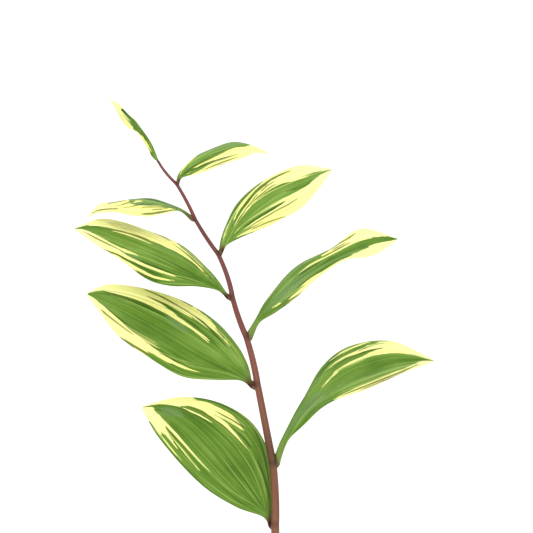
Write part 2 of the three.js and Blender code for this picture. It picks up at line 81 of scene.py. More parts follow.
# Each leaf's root on the stem, its upper margin, midrib and lower margin as x and z from that root,
# how far back the midrib lies, the turn of each half, and the depth of the ripples along the margins.
LEAVES = {
    "leaf_left_1": dict(
        joint=0,
        root=(10.25, 224.5),
        upper=[(-2.2, 3.5), (-1.2, 10.5), (-1, 22), (-4.75, 40),
               (-13.5, 52.75), (-30, 61.35), (-48.5, 63.5), (-66, 58.85)],
        middle=[(-2.6, 1), (-4.75, 6.5), (-11.5, 14), (-20, 25.25),
                (-31, 38.5), (-42.5, 49.75), (-54.5, 57), (-66.25, 58.25)],
        lower=[(-2.75, -1.5), (-6.25, 3.7), (-18.5, 8.1), (-33.5, 17.15),
               (-46.5, 29), (-57.25, 42.25), (-63, 51), (-66.35, 57.5)],
        bow=(1.3, -4, -3),
        lean_up=(40, 26, 5),
        lean_low=(5, 24, 12),
        wave=0.5,
    ),
    "leaf_right_1": dict(
        joint=1,
        root=(9.15, 254.5),
        upper=[(1.8, 6.1), (3.85, 11.75), (8.6, 20.6), (15, 33),
               (24.35, 48.4), (39.1, 59), (59.1, 61.6), (80.35, 52)],
        middle=[(2.3, 3.3), (5.35, 10), (11.1, 20), (19.1, 30),
                (30.1, 38.25), (44.1, 45.5), (61.6, 51), (80.35, 51.6)],
        lower=[(3.3, -0.2), (7.35, 11), (14.2, 18.4), (23.1, 26.9),
               (34.6, 33), (48.85, 38.6), (65.6, 45.5), (80.1, 51.25)],
        bow=(0, -7, 2),
        lean_up=(15, 50, 15),
        lean_low=(15, 66, 45),
        wave=0.5,
    ),
    "leaf_left_2": dict(
        joint=2,
        root=(1.25, 294.5),
        upper=[(-2.95, 2), (-4.35, 9), (-10, 19.5), (-20.5, 31.75),
               (-36.5, 41), (-57.5, 48.2), (-74, 49.85), (-84.5, 45.75)],
        middle=[(-2.95, 0.2), (-7, 4), (-16, 10.5), (-28.5, 19),
                (-44.5, 29), (-62.5, 38.25), (-76, 43.25), (-84.5, 45)],
        lower=[(-3, -2), (-8.5, 1.75), (-21.5, 2.1), (-38.5, 4),
               (-54.75, 13.75), (-69.5, 24.35), (-78.75, 36), (-84.75, 44.25)],
        bow=(0, -7, -1),
        lean_up=(20, 42, 20),
        lean_low=(5, 22, 15),
        wave=0.6,
    ),
    "leaf_right_2": dict(
        joint=3,
        root=(-3.75, 318),
        upper=[(0.7, 3.3), (4.95, 10.3), (9.75, 18.75), (17.75, 29),
               (28.5, 37.4), (42.25, 44.85), (57, 54.05), (75.15, 49.2)],
        middle=[(1.6, 1.5), (5.6, 8.9), (11.5, 16), (20.5, 23.75),
                (31.5, 32), (45, 39.75), (59.5, 46), (75.25, 48.85)],
        lower=[(2.65, -0.75), (6.5, 7.25), (14.25, 12.35), (23.75, 18.5),
               (34, 29), (48, 37.75), (63, 40.65), (74.9, 48.35)],
        bow=(0, -7, 2),
        lean_up=(20, 66, 25),
        lean_low=(15, 72, 45),
        wave=0.5,
    ),
    "leaf_left_3": dict(
        joint=4,
        root=(-11.1, 338),
        upper=[(-2.6, 1.9), (-4.25, 4.2), (-10.65, 13), (-21.15, 22.5),
               (-34.4, 30.4), (-50.65, 36.6), (-66.4, 38.8), (-78.4, 34.5)],
        middle=[(-2.6, 0.5), (-6, 3.6), (-14.65, 9.25), (-25.15, 15.5),
                (-38.15, 21.85), (-53.65, 27.9), (-67.65, 32.85), (-78.65, 34)],
        lower=[(-2.7, -0.9), (-7.65, 3.35), (-17.15, 5.15), (-30.65, 5.5),
               (-43.55, 9.75), (-56.95, 19.05), (-68.95, 26.85), (-78.65, 33.4)],
        bow=(0, -6, 2),
        lean_up=(15, 58, 35),
        lean_low=(10, 40, 30),
        wave=0.6,
    ),
    "leaf_right_3": dict(
        joint=5,
        root=(-17.5, 359.5),
        upper=[(-0.1, 2.65), (0.8, 8), (3.15, 14.75), (9, 25.1),
               (19.25, 35.25), (31.75, 41.6), (43, 44.4), (56.15, 42.4)],
        middle=[(0.85, 1.85), (2.1, 5.5), (6.25, 12), (13.75, 20.5),
                (23.75, 27.75), (34.75, 33.25), (45.75, 38), (56, 42.1)],
        lower=[(1.85, 1), (4, 4.65), (10.25, 7.9), (20.75, 12.5),
               (31.25, 17.4), (40.5, 22.6), (48.9, 31.75), (55.85, 41.6)],
        bow=(0, -6, 1),
        lean_up=(15, 54, 35),
        lean_low=(10, 30, 20),
        wave=0.4,
    ),
    "leaf_left_4": dict(
        joint=6,
        root=(-29.5, 377),
        upper=[(-3.25, 2.7), (-7.25, 5.3), (-13.75, 7.9), (-22.75, 10.3),
               (-32.25, 10.1), (-41.25, 8.2), (-48.25, 7.4), (-53.35, 1.75)],
        middle=[(-2.95, 1), (-7.5, 4.6), (-14.25, 5.5), (-23.25, 5.25),
                (-32.75, 5.25), (-41.25, 5.25), (-48.25, 4.5), (-53.5, 1.25)],
        lower=[(-2.35, -0.65), (-7.75, 3.75), (-14.75, 2.8), (-23.75, 1.5),
               (-33.25, 1.8), (-41.75, 3.5), (-49.25, 2.75), (-53, 1)],
        bow=(0, -5, 0),
        lean_up=(15, 58, 30),
        lean_low=(15, 64, 40),
        wave=0.3,
        ground="cream",
    ),
    "leaf_right_4": dict(
        joint=7,
        root=(-38.5, 394.5),
        upper=[(-0.45, 2), (0.4, 5), (4.1, 9.5), (10.75, 15),
               (20, 18.9), (29.25, 20.9), (38.25, 19.15), (45.4, 15.5)],
        middle=[(0.35, 1.5), (1.5, 4), (6.25, 7.5), (13.75, 10.75),
                (22.25, 14), (30.75, 16.5), (38.25, 17.1), (45, 15.25)],
        lower=[(1.15, 1.25), (2.75, 3.25), (9, 4.8), (17.25, 7.6),
               (25.25, 10.5), (33, 13.3), (39.25, 15.4), (45.35, 15)],
        bow=(0, -4, 1),
        lean_up=(15, 56, 40),
        lean_low=(15, 60, 40),
        wave=0.3,
    ),
    "leaf_top": dict(
        joint=8,
        root=(-48.25, 406),
        upper=[(0.1, 0.85), (-1.25, 4.5), (-3.75, 9.5), (-7, 14.75),
               (-10.75, 19.25), (-14.5, 23), (-19.25, 28.25), (-23.55, 30.3)],
        middle=[(-0.38, 0.48), (-2.25, 3.5), (-5, 8.25), (-8, 13.25),
                (-12, 17.5), (-16, 22.5), (-20, 26.75), (-23.75, 30.25)],
        lower=[(-0.85, 0.1), (-3.25, 2.6), (-6.25, 8.5), (-10, 13.65),
               (-15, 16.75), (-18.75, 21.5), (-21.5, 26.35), (-23.9, 30)],
        bow=(0, -3, 1),
        lean_up=(10, 58, 40),
        lean_low=(10, 58, 40),
        wave=0.3,
        ground="cream",
    ),
}

# Each leaf's markings in painting order, as x and z from its root in the front elevation. A streak is
# a line with its width at each point. An edge names a margin, and is all between that and its line.
# The soft grey-green patches are painted sheen, where a blade's upper side faces the light.
MARKINGS = {
    "leaf_left_1": [
        ("cream", "upper", [(-63.5, 59), (-58.5, 59.9), (-52.5, 59.4), (-47.5, 58.8), (-45, 59.2),
         (-39, 57.9), (-34, 55.4), (-32, 54), (-31, 57.5), (-30.5, 62), (-30, 64)]),
        ("cream", [(-39.5, 60.8, 3), (-32.5, 58.8, 2.5), (-26.5, 56.2, 2), (-21.5, 53.2, 1.5),
         (-16.8, 49.5, 0.3)]),
        ("cream", [(-35, 57.2, 2), (-29, 55.1, 1.25), (-18.5, 49, 1.1), (-15.2, 46.2, 0.25)]),
        ("cream", [(-35.5, 56.2, 1.5), (-30, 53.4, 1.6), (-25.5, 50.2, 1.75), (-21.5, 46.4, 1.2),
         (-12.8, 36.2, 0.25)]),
        ("cream", [(-47, 58.5, 0.4), (-37.5, 54.2, 0.6), (-30.8, 50.2, 0.2)]),
        ("olive", [(-46, 59.4, 0.4), (-40, 57.4, 0.6), (-35, 54.9, 0.6), (-24.5, 47.8, 0.6),
         (-12.5, 35, 0.4)]),
        ("olive", [(-30, 56.4, 0.25), (-20, 51.2, 0.6), (-15, 48, 1)]),
        ("dark", [(-24, 50, 0.25), (-16, 43, 0.75), (-12, 37.5, 0.75)]),
        ("light", [(-21, 49.2, 0.3), (-15.5, 44.5, 0.5), (-11.5, 39, 0.3)]),
        ("green", "upper", [(-41, 62.2), (-35.8, 61.4), (-30.8, 59.5), (-22.5, 55.2), (-16, 49.5)]),
        ("light", [(-26, 59.8, 0.4), (-19.2, 56.9, 0.75), (-14.2, 52.8, 0.65), (-9.2, 46.8, 0.4)]),
        ("cream", "lower", [(-63.5, 58.5), (-60, 56.2), (-55.5, 51.2), (-54.5, 48.5), (-56, 45.5),
         (-58.5, 43.5)]),
        ("cream", [(-60, 55.8, 2), (-47.5, 42.4, 1), (-39.2, 32.9, 0.65), (-32, 25.5, 0.25)]),
        ("cream", [(-54.5, 47, 0.25), (-41, 30.5, 0.45), (-37.5, 26.5, 0.15)]),
        ("cream", [(-57.5, 45, 0.25), (-52.5, 38.5, 0.45), (-46, 31, 0.2)]),
        ("olive", [(-56, 49.8, 0.3), (-46.5, 39.2, 0.55), (-41.5, 33, 0.5)]),
        ("cream", [(-58, 50, 2.5), (-55, 46.2, 1.5), (-48.5, 37, 0.25)]),
        ("light", [(-51, 43, 0.4), (-44.5, 35.5, 0.6), (-38, 26, 0.3)]),
        ("green", "lower", [(-62.5, 51.5), (-59.5, 47.2), (-56, 42.5), (-48.5, 33)]),
        ("light", [(-30, 37.9, 0.25), (-19.2, 23.7, 0.55), (-5.8, 7, 0.45)]),
        ("light", [(-30.8, 24.5, 0.25), (-22.5, 17, 0.5), (-9.2, 8.7, 0.4)]),
        ("light", [(-12.5, 35.4, 0.3), (-6.7, 23.7, 0.6), (-3.8, 12.8, 0.6)]),
        ("dark", [(-11, 35.4, 0.3), (-5.2, 23.5, 0.65), (-2.8, 12, 0.6)]),
        ("bloom", [(-57.5, 58, 1.5), (-51.5, 55.5, 4.5), (-45.5, 53.5, 2)]),
        ("dark", [(-16, 55.2, 0.25), (-10, 46.5, 0.7), (-5.5, 34, 0.7), (-3.2, 20.5, 0.55),
         (-2.5, 9.5, 0.35)]),
        ("light", [(-15.5, 40.5, 0.25), (-10, 31.2, 0.55), (-6.2, 20.5, 0.55), (-4, 8.5, 0.35)]),
        ("light", [(-23.5, 59, 0.25), (-14.5, 52.8, 0.55), (-7.2, 43, 0.55), (-4.2, 33.5, 0.35)]),
        ("light", [(-19.5, 38.5, 0.25), (-12.5, 28.5, 0.45), (-7.5, 17, 0.45), (-4.5, 7, 0.25)]),
        ("dark", [(-26.5, 36, 0.25), (-18.5, 26, 0.45), (-10.5, 15, 0.45), (-5.5, 7, 0.25)]),
        ("light", [(-44.5, 31, 0.25), (-35, 21.5, 0.5), (-22.5, 12.5, 0.5), (-10, 6.5, 0.35)]),
    ],
    "leaf_left_2": [
        ("cream", "upper", [(-81.5, 46.2), (-72.5, 45.5), (-58.5, 41.2), (-44.5, 34.6), (-36, 29)]),
        ("cream", [(-43.5, 35.2, 2), (-28.5, 25.1, 0.75), (-24.5, 21.9, 0.3)]),
        ("green", [(-56, 44.3, 0.2), (-47, 40, 1.2), (-38.5, 34.5, 2.5), (-28.5, 27.7, 3.1),
         (-18.5, 18.8, 3)]),
        ("green", "upper", [(-33.5, 40.2), (-23.5, 31.7), (-16, 23.2), (-13.5, 19.5)]),
        ("green", [(-21, 23, 1.5), (-16, 18.5, 3), (-11, 13, 4)]),
        ("cream", [(-49.5, 46, 2.5), (-44.5, 44, 3.25), (-33.5, 37.1, 3.1), (-28.5, 33.9, 3),
         (-23.5, 29.9, 2.5), (-19.5, 25.9, 1.9), (-13, 18.2, 0.25)]),
        ("olive", [(-56, 44.3, 0.3), (-48, 40.6, 0.65), (-44.5, 38.6, 0.35)]),
        ("dark", [(-47, 39.8, 0.3), (-42.5, 37.1, 0.7), (-31.5, 29.5, 0.65), (-26, 25, 0.5)]),
        ("cream", [(-43.5, 40.2, 0.25), (-37, 36.9, 0.6), (-27, 29.8, 0.4), (-23, 26.2, 0.2)]),
        ("olive", [(-58.2, 48, 0.35), (-48.5, 43.9, 0.65), (-36.5, 37.2, 0.5), (-32.5, 34.6, 0.4)]),
        ("dark", [(-35.5, 36.5, 0.25), (-28, 31.5, 0.8), (-21, 24.8, 0.8), (-12.5, 15.5, 0.25)]),
        ("olive", [(-39.5, 42.8, 0.25), (-35.5, 40.6, 0.5), (-32, 38.5, 0.45)]),
        ("olive", [(-21.5, 28.2, 0.2), (-18.5, 25, 0.45), (-15.5, 21.5, 0.3)]),
        ("cream", [(-33.5, 28.2, 0.15), (-28.5, 24.2, 0.4), (-23.5, 20, 0.2)]),
        # A painted highlight: the broad pale green streak where the upper half faces the light
        ("light", [(-17.5, 25, 0.3), (-13, 19.8, 1), (-9, 14, 1.3), (-5.5, 8, 1)]),
        ("light", [(-21, 20.5, 0.2), (-15.5, 15.5, 0.5), (-8.5, 8, 0.4)]),
        ("light", [(-16, 19.5, 0.2), (-11, 14.2, 0.5), (-5.5, 6.5, 0.4)]),
        ("dark", [(-77, 45.9, 0.3), (-72.5, 44.8, 0.9), (-58.5, 40, 1.4), (-48.5, 35.4, 1),
         (-42.5, 32, 0.6)]),
        ("light", [(-75.5, 45.1, 0.2), (-63.5, 40.9, 0.6), (-47.5, 33.4, 0.5), (-39.5, 28.2, 0.25)]),
        ("cream", "lower", [(-83, 43.8), (-78, 40), (-65, 29), (-58.5, 23.7), (-51, 18.5)]),
        ("cream", [(-55.5, 19, 4.5), (-48.5, 14.4, 2.3), (-41, 10.2, 1.4), (-33.5, 7.2, 0.6),
         (-29.5, 6.2, 0.2)]),
        ("light", [(-51.5, 18.6, 0.3), (-41.5, 13.1, 0.6), (-29.5, 9.5, 0.25)]),
        ("dark", [(-79.5, 41.5, 0.25), (-68.5, 32.2, 0.7), (-62.5, 26.9, 0.7), (-51, 18.3, 0.65),
         (-38.5, 12, 0.25)]),
        ("dark", [(-50, 16.2, 0.25), (-41, 11.7, 0.65), (-34.5, 9.5, 0.3)]),
        ("olive", [(-78.2, 37.9, 0.4), (-76, 35.4, 0.7), (-64.5, 26.6, 0.65), (-61, 24.5, 0.35)]),
        ("green", "lower", [(-67.5, 23), (-53.5, 14.9), (-43.5, 10.3), (-33.5, 6.5)]),
        ("cream", [(-62, 18.5, 0.25), (-57.5, 15.5, 0.45), (-53, 12.5, 0.25)]),
        ("olive", [(-68.2, 23.4, 0.35), (-58.5, 17.4, 0.7), (-53.5, 14.5, 0.5)]),
        ("light", [(-53, 12.2, 0.25), (-48.5, 9.2, 0.5), (-43.5, 6.6, 0.6), (-36, 4, 0.6), (-28.5, 3, 0.55),
         (-20.5, 2.7, 0.5), (-10.5, 2.8, 0.3)]),
        ("light", [(-34.5, 10, 0.2), (-26, 7.8, 0.45), (-16, 5.5, 0.45), (-6.5, 2, 0.25)]),
        ("bloom", [(-46, 34, 1), (-39.5, 29.5, 3), (-33.5, 25, 1)]),
    ],
    "leaf_left_3": [
        ("cream", "upper", [(-74.2, 35.4), (-70.7, 35.5), (-66.2, 35.1), (-61.1, 34), (-51.1, 31.2),
         (-41.1, 28.1), (-31.1, 23.8), (-21.1, 18.1), (-14.7, 12.6), (-8.7, 6.5)]),
        # Painted shade: a soft golden patch in the cream where the upper half turns away from the light
        ("gold", [(-63.1, 37.2, 1), (-58.1, 36, 3), (-52.1, 34.5, 3.5), (-43.1, 32.2, 1)]),
        ("green", "upper", [(-27.1, 25.8), (-21.1, 20.9), (-14.2, 13.6), (-8.7, 6.5)]),
        ("dark", [(-30.6, 27.2, 0.3), (-20.6, 19.4, 0.65), (-13.2, 11.9, 0.4), (-9.7, 7.8, 0.25)]),
        ("olive", [(-42.6, 34, 0.25), (-34.6, 30, 0.45), (-30.6, 27.7, 0.3)]),
        ("olive", [(-65.3, 35.2, 0.3), (-48.6, 30.7, 0.75), (-40.6, 27.8, 0.4)]),
        ("cream", [(-61.1, 33.2, 0.2), (-51.1, 30.6, 0.55), (-39.1, 25.8, 0.2)]),
        ("light", [(-20.1, 21, 0.2), (-16.1, 17.1, 0.5), (-8.7, 8, 0.4)]),
        ("cream", "lower", [(-76.2, 33.9), (-73.2, 33.2), (-69.7, 31.7), (-55.1, 24.2), (-47.6, 20.9)]),
        ("green", [(-58.1, 24.4, 0.2), (-51.1, 20.6, 1.8), (-43.6, 17.6, 2.3), (-35.6, 14, 2),
         (-31.1, 12.4, 1.5)]),
        ("cream", [(-56.1, 24.1, 1.2), (-52.6, 22.7, 1.1), (-46.6, 20.5, 0.3)]),
        ("light", [(-48.1, 21, 0.3), (-44.1, 19.7, 0.75), (-27.1, 12.9, 0.3)]),
        ("cream", [(-60.1, 23.5, 2), (-51.1, 19.1, 1.2), (-41.1, 14.7, 1), (-31.1, 11.2, 0.55),
         (-25.6, 10.1, 0.2)]),
        ("cream", [(-56.1, 19.2, 2.5), (-48.6, 14.6, 1.5), (-41.1, 10.6, 1.1), (-33.1, 8.5, 0.55),
         (-27.6, 8, 0.2)]),
        ("green", [(-62.1, 22.9, 0.2), (-57.1, 20.9, 0.7), (-53.6, 18.9, 0.95), (-41.1, 12.7, 1.8),
         (-31.1, 9.8, 1.5), (-24.1, 8.7, 1)]),
        ("green", "lower", [(-44.6, 11.2), (-41.1, 9.4), (-37.1, 8.4), (-27.1, 7.2)]),
        ("olive", [(-75.3, 33.3, 0.25), (-67.7, 29.1, 0.6), (-53.6, 22.1, 0.4)]),
        ("dark", [(-55.1, 22.6, 0.3), (-45.1, 17.7, 0.8), (-35.1, 13.5, 0.6), (-30.1, 11.9, 0.3)]),
        ("olive", [(-67, 25.1, 0.4), (-64.2, 23.6, 0.7), (-57.6, 21.1, 0.6), (-54.1, 19.4, 0.45)]),
        ("dark", [(-57.1, 20.9, 0.25), (-49.1, 16.5, 0.7), (-39.6, 12.1, 0.5), (-34.1, 10.4, 0.25)]),
        ("cream", [(-51.1, 16.4, 0.15), (-47.1, 14.2, 0.35), (-42.6, 12, 0.2)]),
        ("olive", [(-48.9, 13.9, 0.3), (-43.1, 10.6, 0.55), (-39.6, 9.2, 0.3)]),
        ("light", [(-37.6, 7.7, 0.2), (-32.1, 6.7, 0.5), (-16.1, 6, 0.3)]),
        ("light", [(-30.1, 10.9, 0.2), (-22.1, 9.2, 0.45), (-13.2, 6.2, 0.3)]),
        ("light", [(-52.1, 25, 0.15), (-45.1, 22.8, 0.35), (-36.1, 19, 0.35), (-25.1, 13.8, 0.2)]),
        ("bloom", [(-52.1, 21, 0.5), (-49.6, 19.8, 1.5), (-46.6, 18.5, 0.5)]),
    ],
    "leaf_right_1": [
        ("cream", "upper", [(76.6, 52.8), (73.1, 53.9), (63.6, 55.3), (53.6, 54.6), (48.6, 53.5),
         (38.6, 49.1), (33.6, 46.8), (29.1, 43.5)]),
        ("green", [(55.9, 58, 0.2), (51.6, 57.3, 0.65), (38.6, 52.4, 2.3), (33.6, 49.6, 2.5),
         (28.6, 46, 2.7), (24.6, 42, 2.7)]),
        ("green", "upper", [(58.1, 61.4), (48.6, 59.6), (38.6, 55.1), (33.6, 52.4), (28.6, 48.8),
         (24.6, 44.5)]),
        ("green", [(32.1, 48.5, 0.75), (28.1, 44.2, 2.5), (24.1, 39, 3.5)]),
        ("dark", [(55.9, 58, 0.35), (48.6, 56.7, 0.65), (38.6, 52.9, 0.85), (33.6, 50.2, 0.75),
         (28.1, 46, 0.5)]),
        ("cream", [(49.6, 61.1, 0.2), (44.6, 59.9, 0.65), (35.6, 56.1, 0.8), (27.6, 50.7, 0.25)]),
        ("light", [(52.6, 54.8, 0.2), (46.1, 52.7, 0.5), (39.6, 49.7, 0.6), (33.6, 47, 0.6),
         (26.6, 41.5, 0.4)]),
        ("light", [(31.6, 51.2, 0.25), (27.6, 47.5, 0.55), (22.6, 41.5, 0.4)]),
        ("light", [(56.6, 60.3, 0.2), (51.6, 59.7, 0.45), (46.6, 58.3, 0.4)]),
        ("olive", [(49.6, 58.9, 0.2), (46.1, 57.7, 0.4), (42.1, 56, 0.3)]),
        ("cream", [(33.1, 46.2, 0.55), (30.1, 44, 0.6), (23.9, 37.5, 0.2)]),
        ("dark", [(35.6, 55.6, 0.25), (31.1, 52.6, 0.5), (26.6, 48.5, 0.5), (21.6, 42, 0.3)]),
        ("cream", "lower", [(77.1, 51.5), (70.6, 49.6), (63.6, 46.7), (41.1, 37.9), (32.6, 33)]),
        ("dark", [(61.6, 46.2, 0.2), (53.6, 43.1, 0.4), (44.6, 39.7, 0.25)]),
        ("olive", [(75.1, 50.4, 0.3), (69.6, 48.4, 0.6), (63.6, 45.7, 0.7), (55.3, 42.4, 0.75),
         (40.3, 36.5, 0.6), (32.6, 33, 0.4)]),
        ("olive", [(67.6, 46.4, 0.15), (51.6, 40, 0.4), (42.6, 36.5, 0.25)]),
        ("bloom", [(5.1, 12, 1), (12.1, 22, 3), (21.1, 32, 4.5), (28.6, 38, 1.5)]),
        ("light", [(6.1, 9.5, 0.25), (16.1, 25, 0.5), (26.1, 34.5, 0.25)]),
    ],
    "leaf_right_2": [
        ("cream", "upper", [(72, 49.9), (68, 50.3), (57.5, 48.1), (41, 40.4), (38, 39.4)]),
        ("green", "upper", [(40.5, 42.8), (32.5, 38.1), (24.5, 32.5), (17, 25)]),
        ("green", [(49.5, 45.8, 0.15), (32.5, 36.9, 1), (28, 33.8, 1)]),
        ("olive", [(55, 52.1, 0.3), (51.5, 49.8, 0.65), (33.5, 39, 0.25)]),
        ("olive", [(52.5, 47.5, 0.2), (48.5, 45.5, 0.5), (40.5, 41.1, 0.4)]),
        ("olive", [(50, 47.2, 0.15), (46, 45.1, 0.4), (42, 42.9, 0.4)]),
        ("cream", [(45.5, 42.7, 0.4), (33, 36.6, 0.55), (25, 31.2, 0.2)]),
        ("light", [(39.5, 43.4, 0.2), (35.5, 41.1, 0.7), (27.5, 36.2, 0.25)]),
        ("light", [(28.5, 33.9, 0.25), (19, 25.2, 0.65), (13.5, 19, 0.4)]),
        ("dark", [(36.5, 37.4, 0.25), (31, 34.2, 0.5), (25.5, 30, 0.4)]),
        ("cream", "lower", [(72.5, 48.1), (69, 47.5), (59, 43.8), (44, 36.6), (34, 30.5), (26.5, 24.8),
         (21, 19)]),
        ("cream", [(26.5, 23.8, 0.7), (16, 16.4, 0.5), (12.5, 14.2, 0.2)]),
        ("dark", [(46.5, 38.5, 0.25), (39.5, 34.7, 0.55), (33, 30.5, 0.6), (23.5, 23.5, 0.25)]),
        ("green", [(30.5, 27.1, 0.15), (21.5, 20.2, 0.7), (16.5, 16.8, 0.8)]),
        ("light", [(28, 25.7, 0.2), (24, 22.6, 0.55), (14.5, 15.8, 0.3)]),
        ("olive", [(28.5, 23.1, 0.25), (24.5, 20.2, 0.65), (13.5, 13.5, 0.25)]),
        ("green", [(25, 18.5, 0.2), (17.5, 14.3, 0.8), (13.5, 12.5, 0.8)]),
        ("light", [(41.5, 39.5, 0.2), (31.5, 33.2, 0.35), (21.5, 26.5, 0.3)]),
        ("bloom", [(7.5, 11, 1), (14.5, 18.5, 3), (24, 27, 3.5), (34, 34.5, 1)]),
    ],
    "leaf_right_3": [
        ("cream", "upper", [(49.8, 41.1), (42.8, 38), (30.2, 34.6), (21.2, 29.1), (15.2, 23.4), (9.2, 15),
         (4.2, 6.5)]),
        ("green", [(36.5, 41.6, 0.25), (32.8, 40.5, 0.7), (25.2, 36.6, 0.9), (17.8, 29.8, 2),
         (10.8, 20.5, 2.25), (5.2, 10.5, 1.8), (3.2, 5.5, 1.5)]),
        ("olive", [(36.5, 41.6, 0.3), (32.8, 40.5, 0.55), (25.2, 36.6, 0.5), (21.2, 33.5, 0.4),
         (16.8, 28.8, 0.35)]),
        ("green", "upper", [(21.2, 35.6), (15.2, 30.1), (8.8, 22.4), (5.8, 17.2), (2, 8), (1, 4)]),
        ("cream", [(24.2, 34.8, 0.2), (20.2, 31.5, 0.4), (16.2, 27.1, 0.5), (10.2, 18.8, 0.4),
         (6.8, 12.5, 0.25)]),
        ("olive", [(29.2, 35.2, 0.2), (25.2, 33, 0.45), (15.2, 24.4, 0.5), (9.2, 16.2, 0.35),
         (6.2, 11, 0.25)]),
        ("olive", [(28.2, 36.5, 0.2), (24.2, 34.1, 0.45), (20.2, 30.5, 0.35)]),
        ("light", [(49.2, 41.8, 0.2), (45.2, 40.1, 0.5), (38.2, 37.2, 0.2)]),
        ("dark", [(51.2, 41.6, 0.2), (46.2, 39.8, 0.45), (41.8, 37.8, 0.25)]),
        ("cream", "lower", [(53.8, 41.1), (46.8, 36.6), (42.8, 33.4), (30.2, 26.9), (18.2, 19.5),
         (10.2, 13.2), (4.8, 7.8)]),
        ("light", [(32.2, 27.8, 0.25), (23.2, 22.5, 0.9), (13.2, 15.2, 0.8), (8.8, 11.2, 0.6)]),
        ("green", [(33.2, 26.2, 0.3), (26.2, 22.5, 1.5), (14.2, 15, 1.7), (7.2, 9.5, 1.5)]),
        ("dark", [(33.2, 26.4, 0.4), (29.8, 24.4, 0.9), (16.2, 15.9, 0.6), (11.8, 12.5, 0.4)]),
        ("cream", [(33.2, 25.5, 0.2), (29.2, 22.9, 0.4), (19.2, 17, 0.35), (14.8, 14, 0.2)]),
        ("olive", [(40.2, 28.5, 0.3), (35.2, 25.2, 0.55), (25.2, 19.7, 0.6), (10.2, 10.5, 0.4)]),
        ("olive", [(33.5, 19, 0.5), (22.8, 15.2, 0.55), (8.2, 8.6, 0.25)]),
        ("olive", [(23.2, 16.8, 0.2), (13.8, 11.9, 0.45), (8.8, 9.1, 0.3)]),
        ("green", [(19.8, 11.5, 0.2), (12.2, 9.2, 0.75), (5.8, 5.8, 1.4)]),
        ("green", [(10.2, 16, 0.5), (4.8, 7, 2.5), (2.8, 3, 3)]),
        ("green", [(16.2, 14.2, 0.25), (8.2, 8.8, 2), (4.8, 6.5, 2.25)]),
        ("green", [(8.2, 21, 0.25), (5.8, 15, 1.25), (2, 4, 2)]),
        ("light", [(16.8, 14.2, 0.25), (11.8, 11.1, 0.55), (6.8, 7.8, 0.55)]),
        ("cream", [(17.2, 12.8, 0.2), (12.8, 10.6, 0.45), (8.2, 8.1, 0.3)]),
        ("light", [(10.2, 24, 0.7), (5.5, 15.5, 1), (2.2, 5.5, 0.7)]),
        ("light", [(9.2, 15.8, 0.4), (4, 6.2, 0.8), (2.2, 2.5, 0.5)]),
        ("light", [(40.2, 33.1, 0.2), (30.8, 29.7, 0.6), (21.8, 24.1, 0.4), (16.2, 19.5, 0.25)]),
        ("dark", [(45.2, 35.9, 0.2), (41.8, 33.8, 0.45), (32.2, 30.6, 0.25)]),
    ],
    "leaf_left_4": [
        # Painted sheen: this leaf's upper side is greyed where it faces the light
        ("bloom_green", "upper", [(-34.8, 10.8), (-32.8, 9), (-30.8, 7), (-25.2, 6.5), (-19.8, 6.5),
         (-12.2, 5.2), (-10.2, 4.2), (-4.8, 0), (-1.2, -2)]),
        ("cream", [(-31.2, 8, 0.4), (-28.8, 8.8, 0.8), (-26.2, 8.6, 0.3)]),
        ("light", [(-33.8, 8.9, 0.25), (-27.8, 9.2, 0.55), (-20.2, 8.2, 0.45), (-13.8, 6.5, 0.25)]),
        ("dark", [(-35.8, 5.4, 0.25), (-26.8, 7.1, 0.5), (-17.8, 7.3, 0.3)]),
        ("dark", [(-33.2, 10.1, 0.25), (-22.8, 9.7, 0.5), (-12.8, 7, 0.25)]),
        ("olive", [(-44.2, 7.7, 0.3), (-41.8, 8, 0.6), (-33.8, 9.4, 0.4)]),
        ("olive", [(-40.8, 5.7, 0.25), (-33.8, 7.9, 0.55), (-31.2, 8.4, 0.4)]),
        ("olive", [(-52.8, 2.5, 0.15), (-47.8, 4.3, 0.55), (-39.2, 5, 0.4), (-34.2, 5.8, 0.45)]),
        ("olive", [(-31.2, 5.1, 0.2), (-21.2, 5.9, 0.4), (-12.8, 5.5, 0.3)]),
        ("olive", [(-22.2, 4.3, 0.4), (-19.8, 4.6, 0.45), (-13.2, 5, 0.25)]),
        ("dark", [(-27.8, 2.4, 0.45), (-21.8, 2.6, 0.85), (-10.8, 4.4, 0.7)]),
        ("dark", [(-7.8, 4.2, 0.4), (-4.8, 2.2, 1.2), (-2.2, 0, 1)]),
    ],
    "leaf_right_4": [
        ("cream", "lower", [(2.8, 3), (10.2, 9), (22.2, 15), (35.2, 18.9), (39.2, 19.4), (42.2, 18.5),
         (44.8, 16.5)]),
        ("green", [(5.2, 4, 1.25), (8.2, 6.2, 1.5), (12.2, 8.2, 1.5), (19.2, 11.5, 0.4)]),
        ("dark", [(7.8, 6.8, 0.4), (16.2, 10.5, 1), (32.8, 15.6, 0.3)]),
        ("olive", [(11.2, 6.2, 0.25), (21.2, 10.2, 0.55), (31.2, 13.8, 0.25)]),
        ("olive", [(17.2, 7.2, 0.25), (22.2, 9, 0.5), (26.2, 10.6, 0.25)]),
        ("dark", [(4.2, 5.5, 0.25), (9.2, 9.5, 0.45), (15.2, 13, 0.45), (22.2, 16, 0.4),
         (29.2, 18.2, 0.3)]),
        ("light", [(1.8, 4, 0.25), (5.2, 9.5, 0.6), (10.2, 13.2, 0.65), (17.2, 16.5, 0.55),
         (24.2, 18.8, 0.3)]),
        ("cream", [(1.2, 4, 0.25), (2.8, 7.5, 0.4), (6.2, 11.2, 0.45), (10.2, 14.2, 0.25)]),
        ("light", [(4.2, 7, 0.25), (9.2, 11.8, 0.5), (16.2, 15, 0.5), (32.2, 19.5, 0.2)]),
        ("bloom", [(6.2, 12, 1), (16.2, 17.5, 3), (27.2, 19.8, 2.5), (35.2, 20.2, 1)]),
    ],
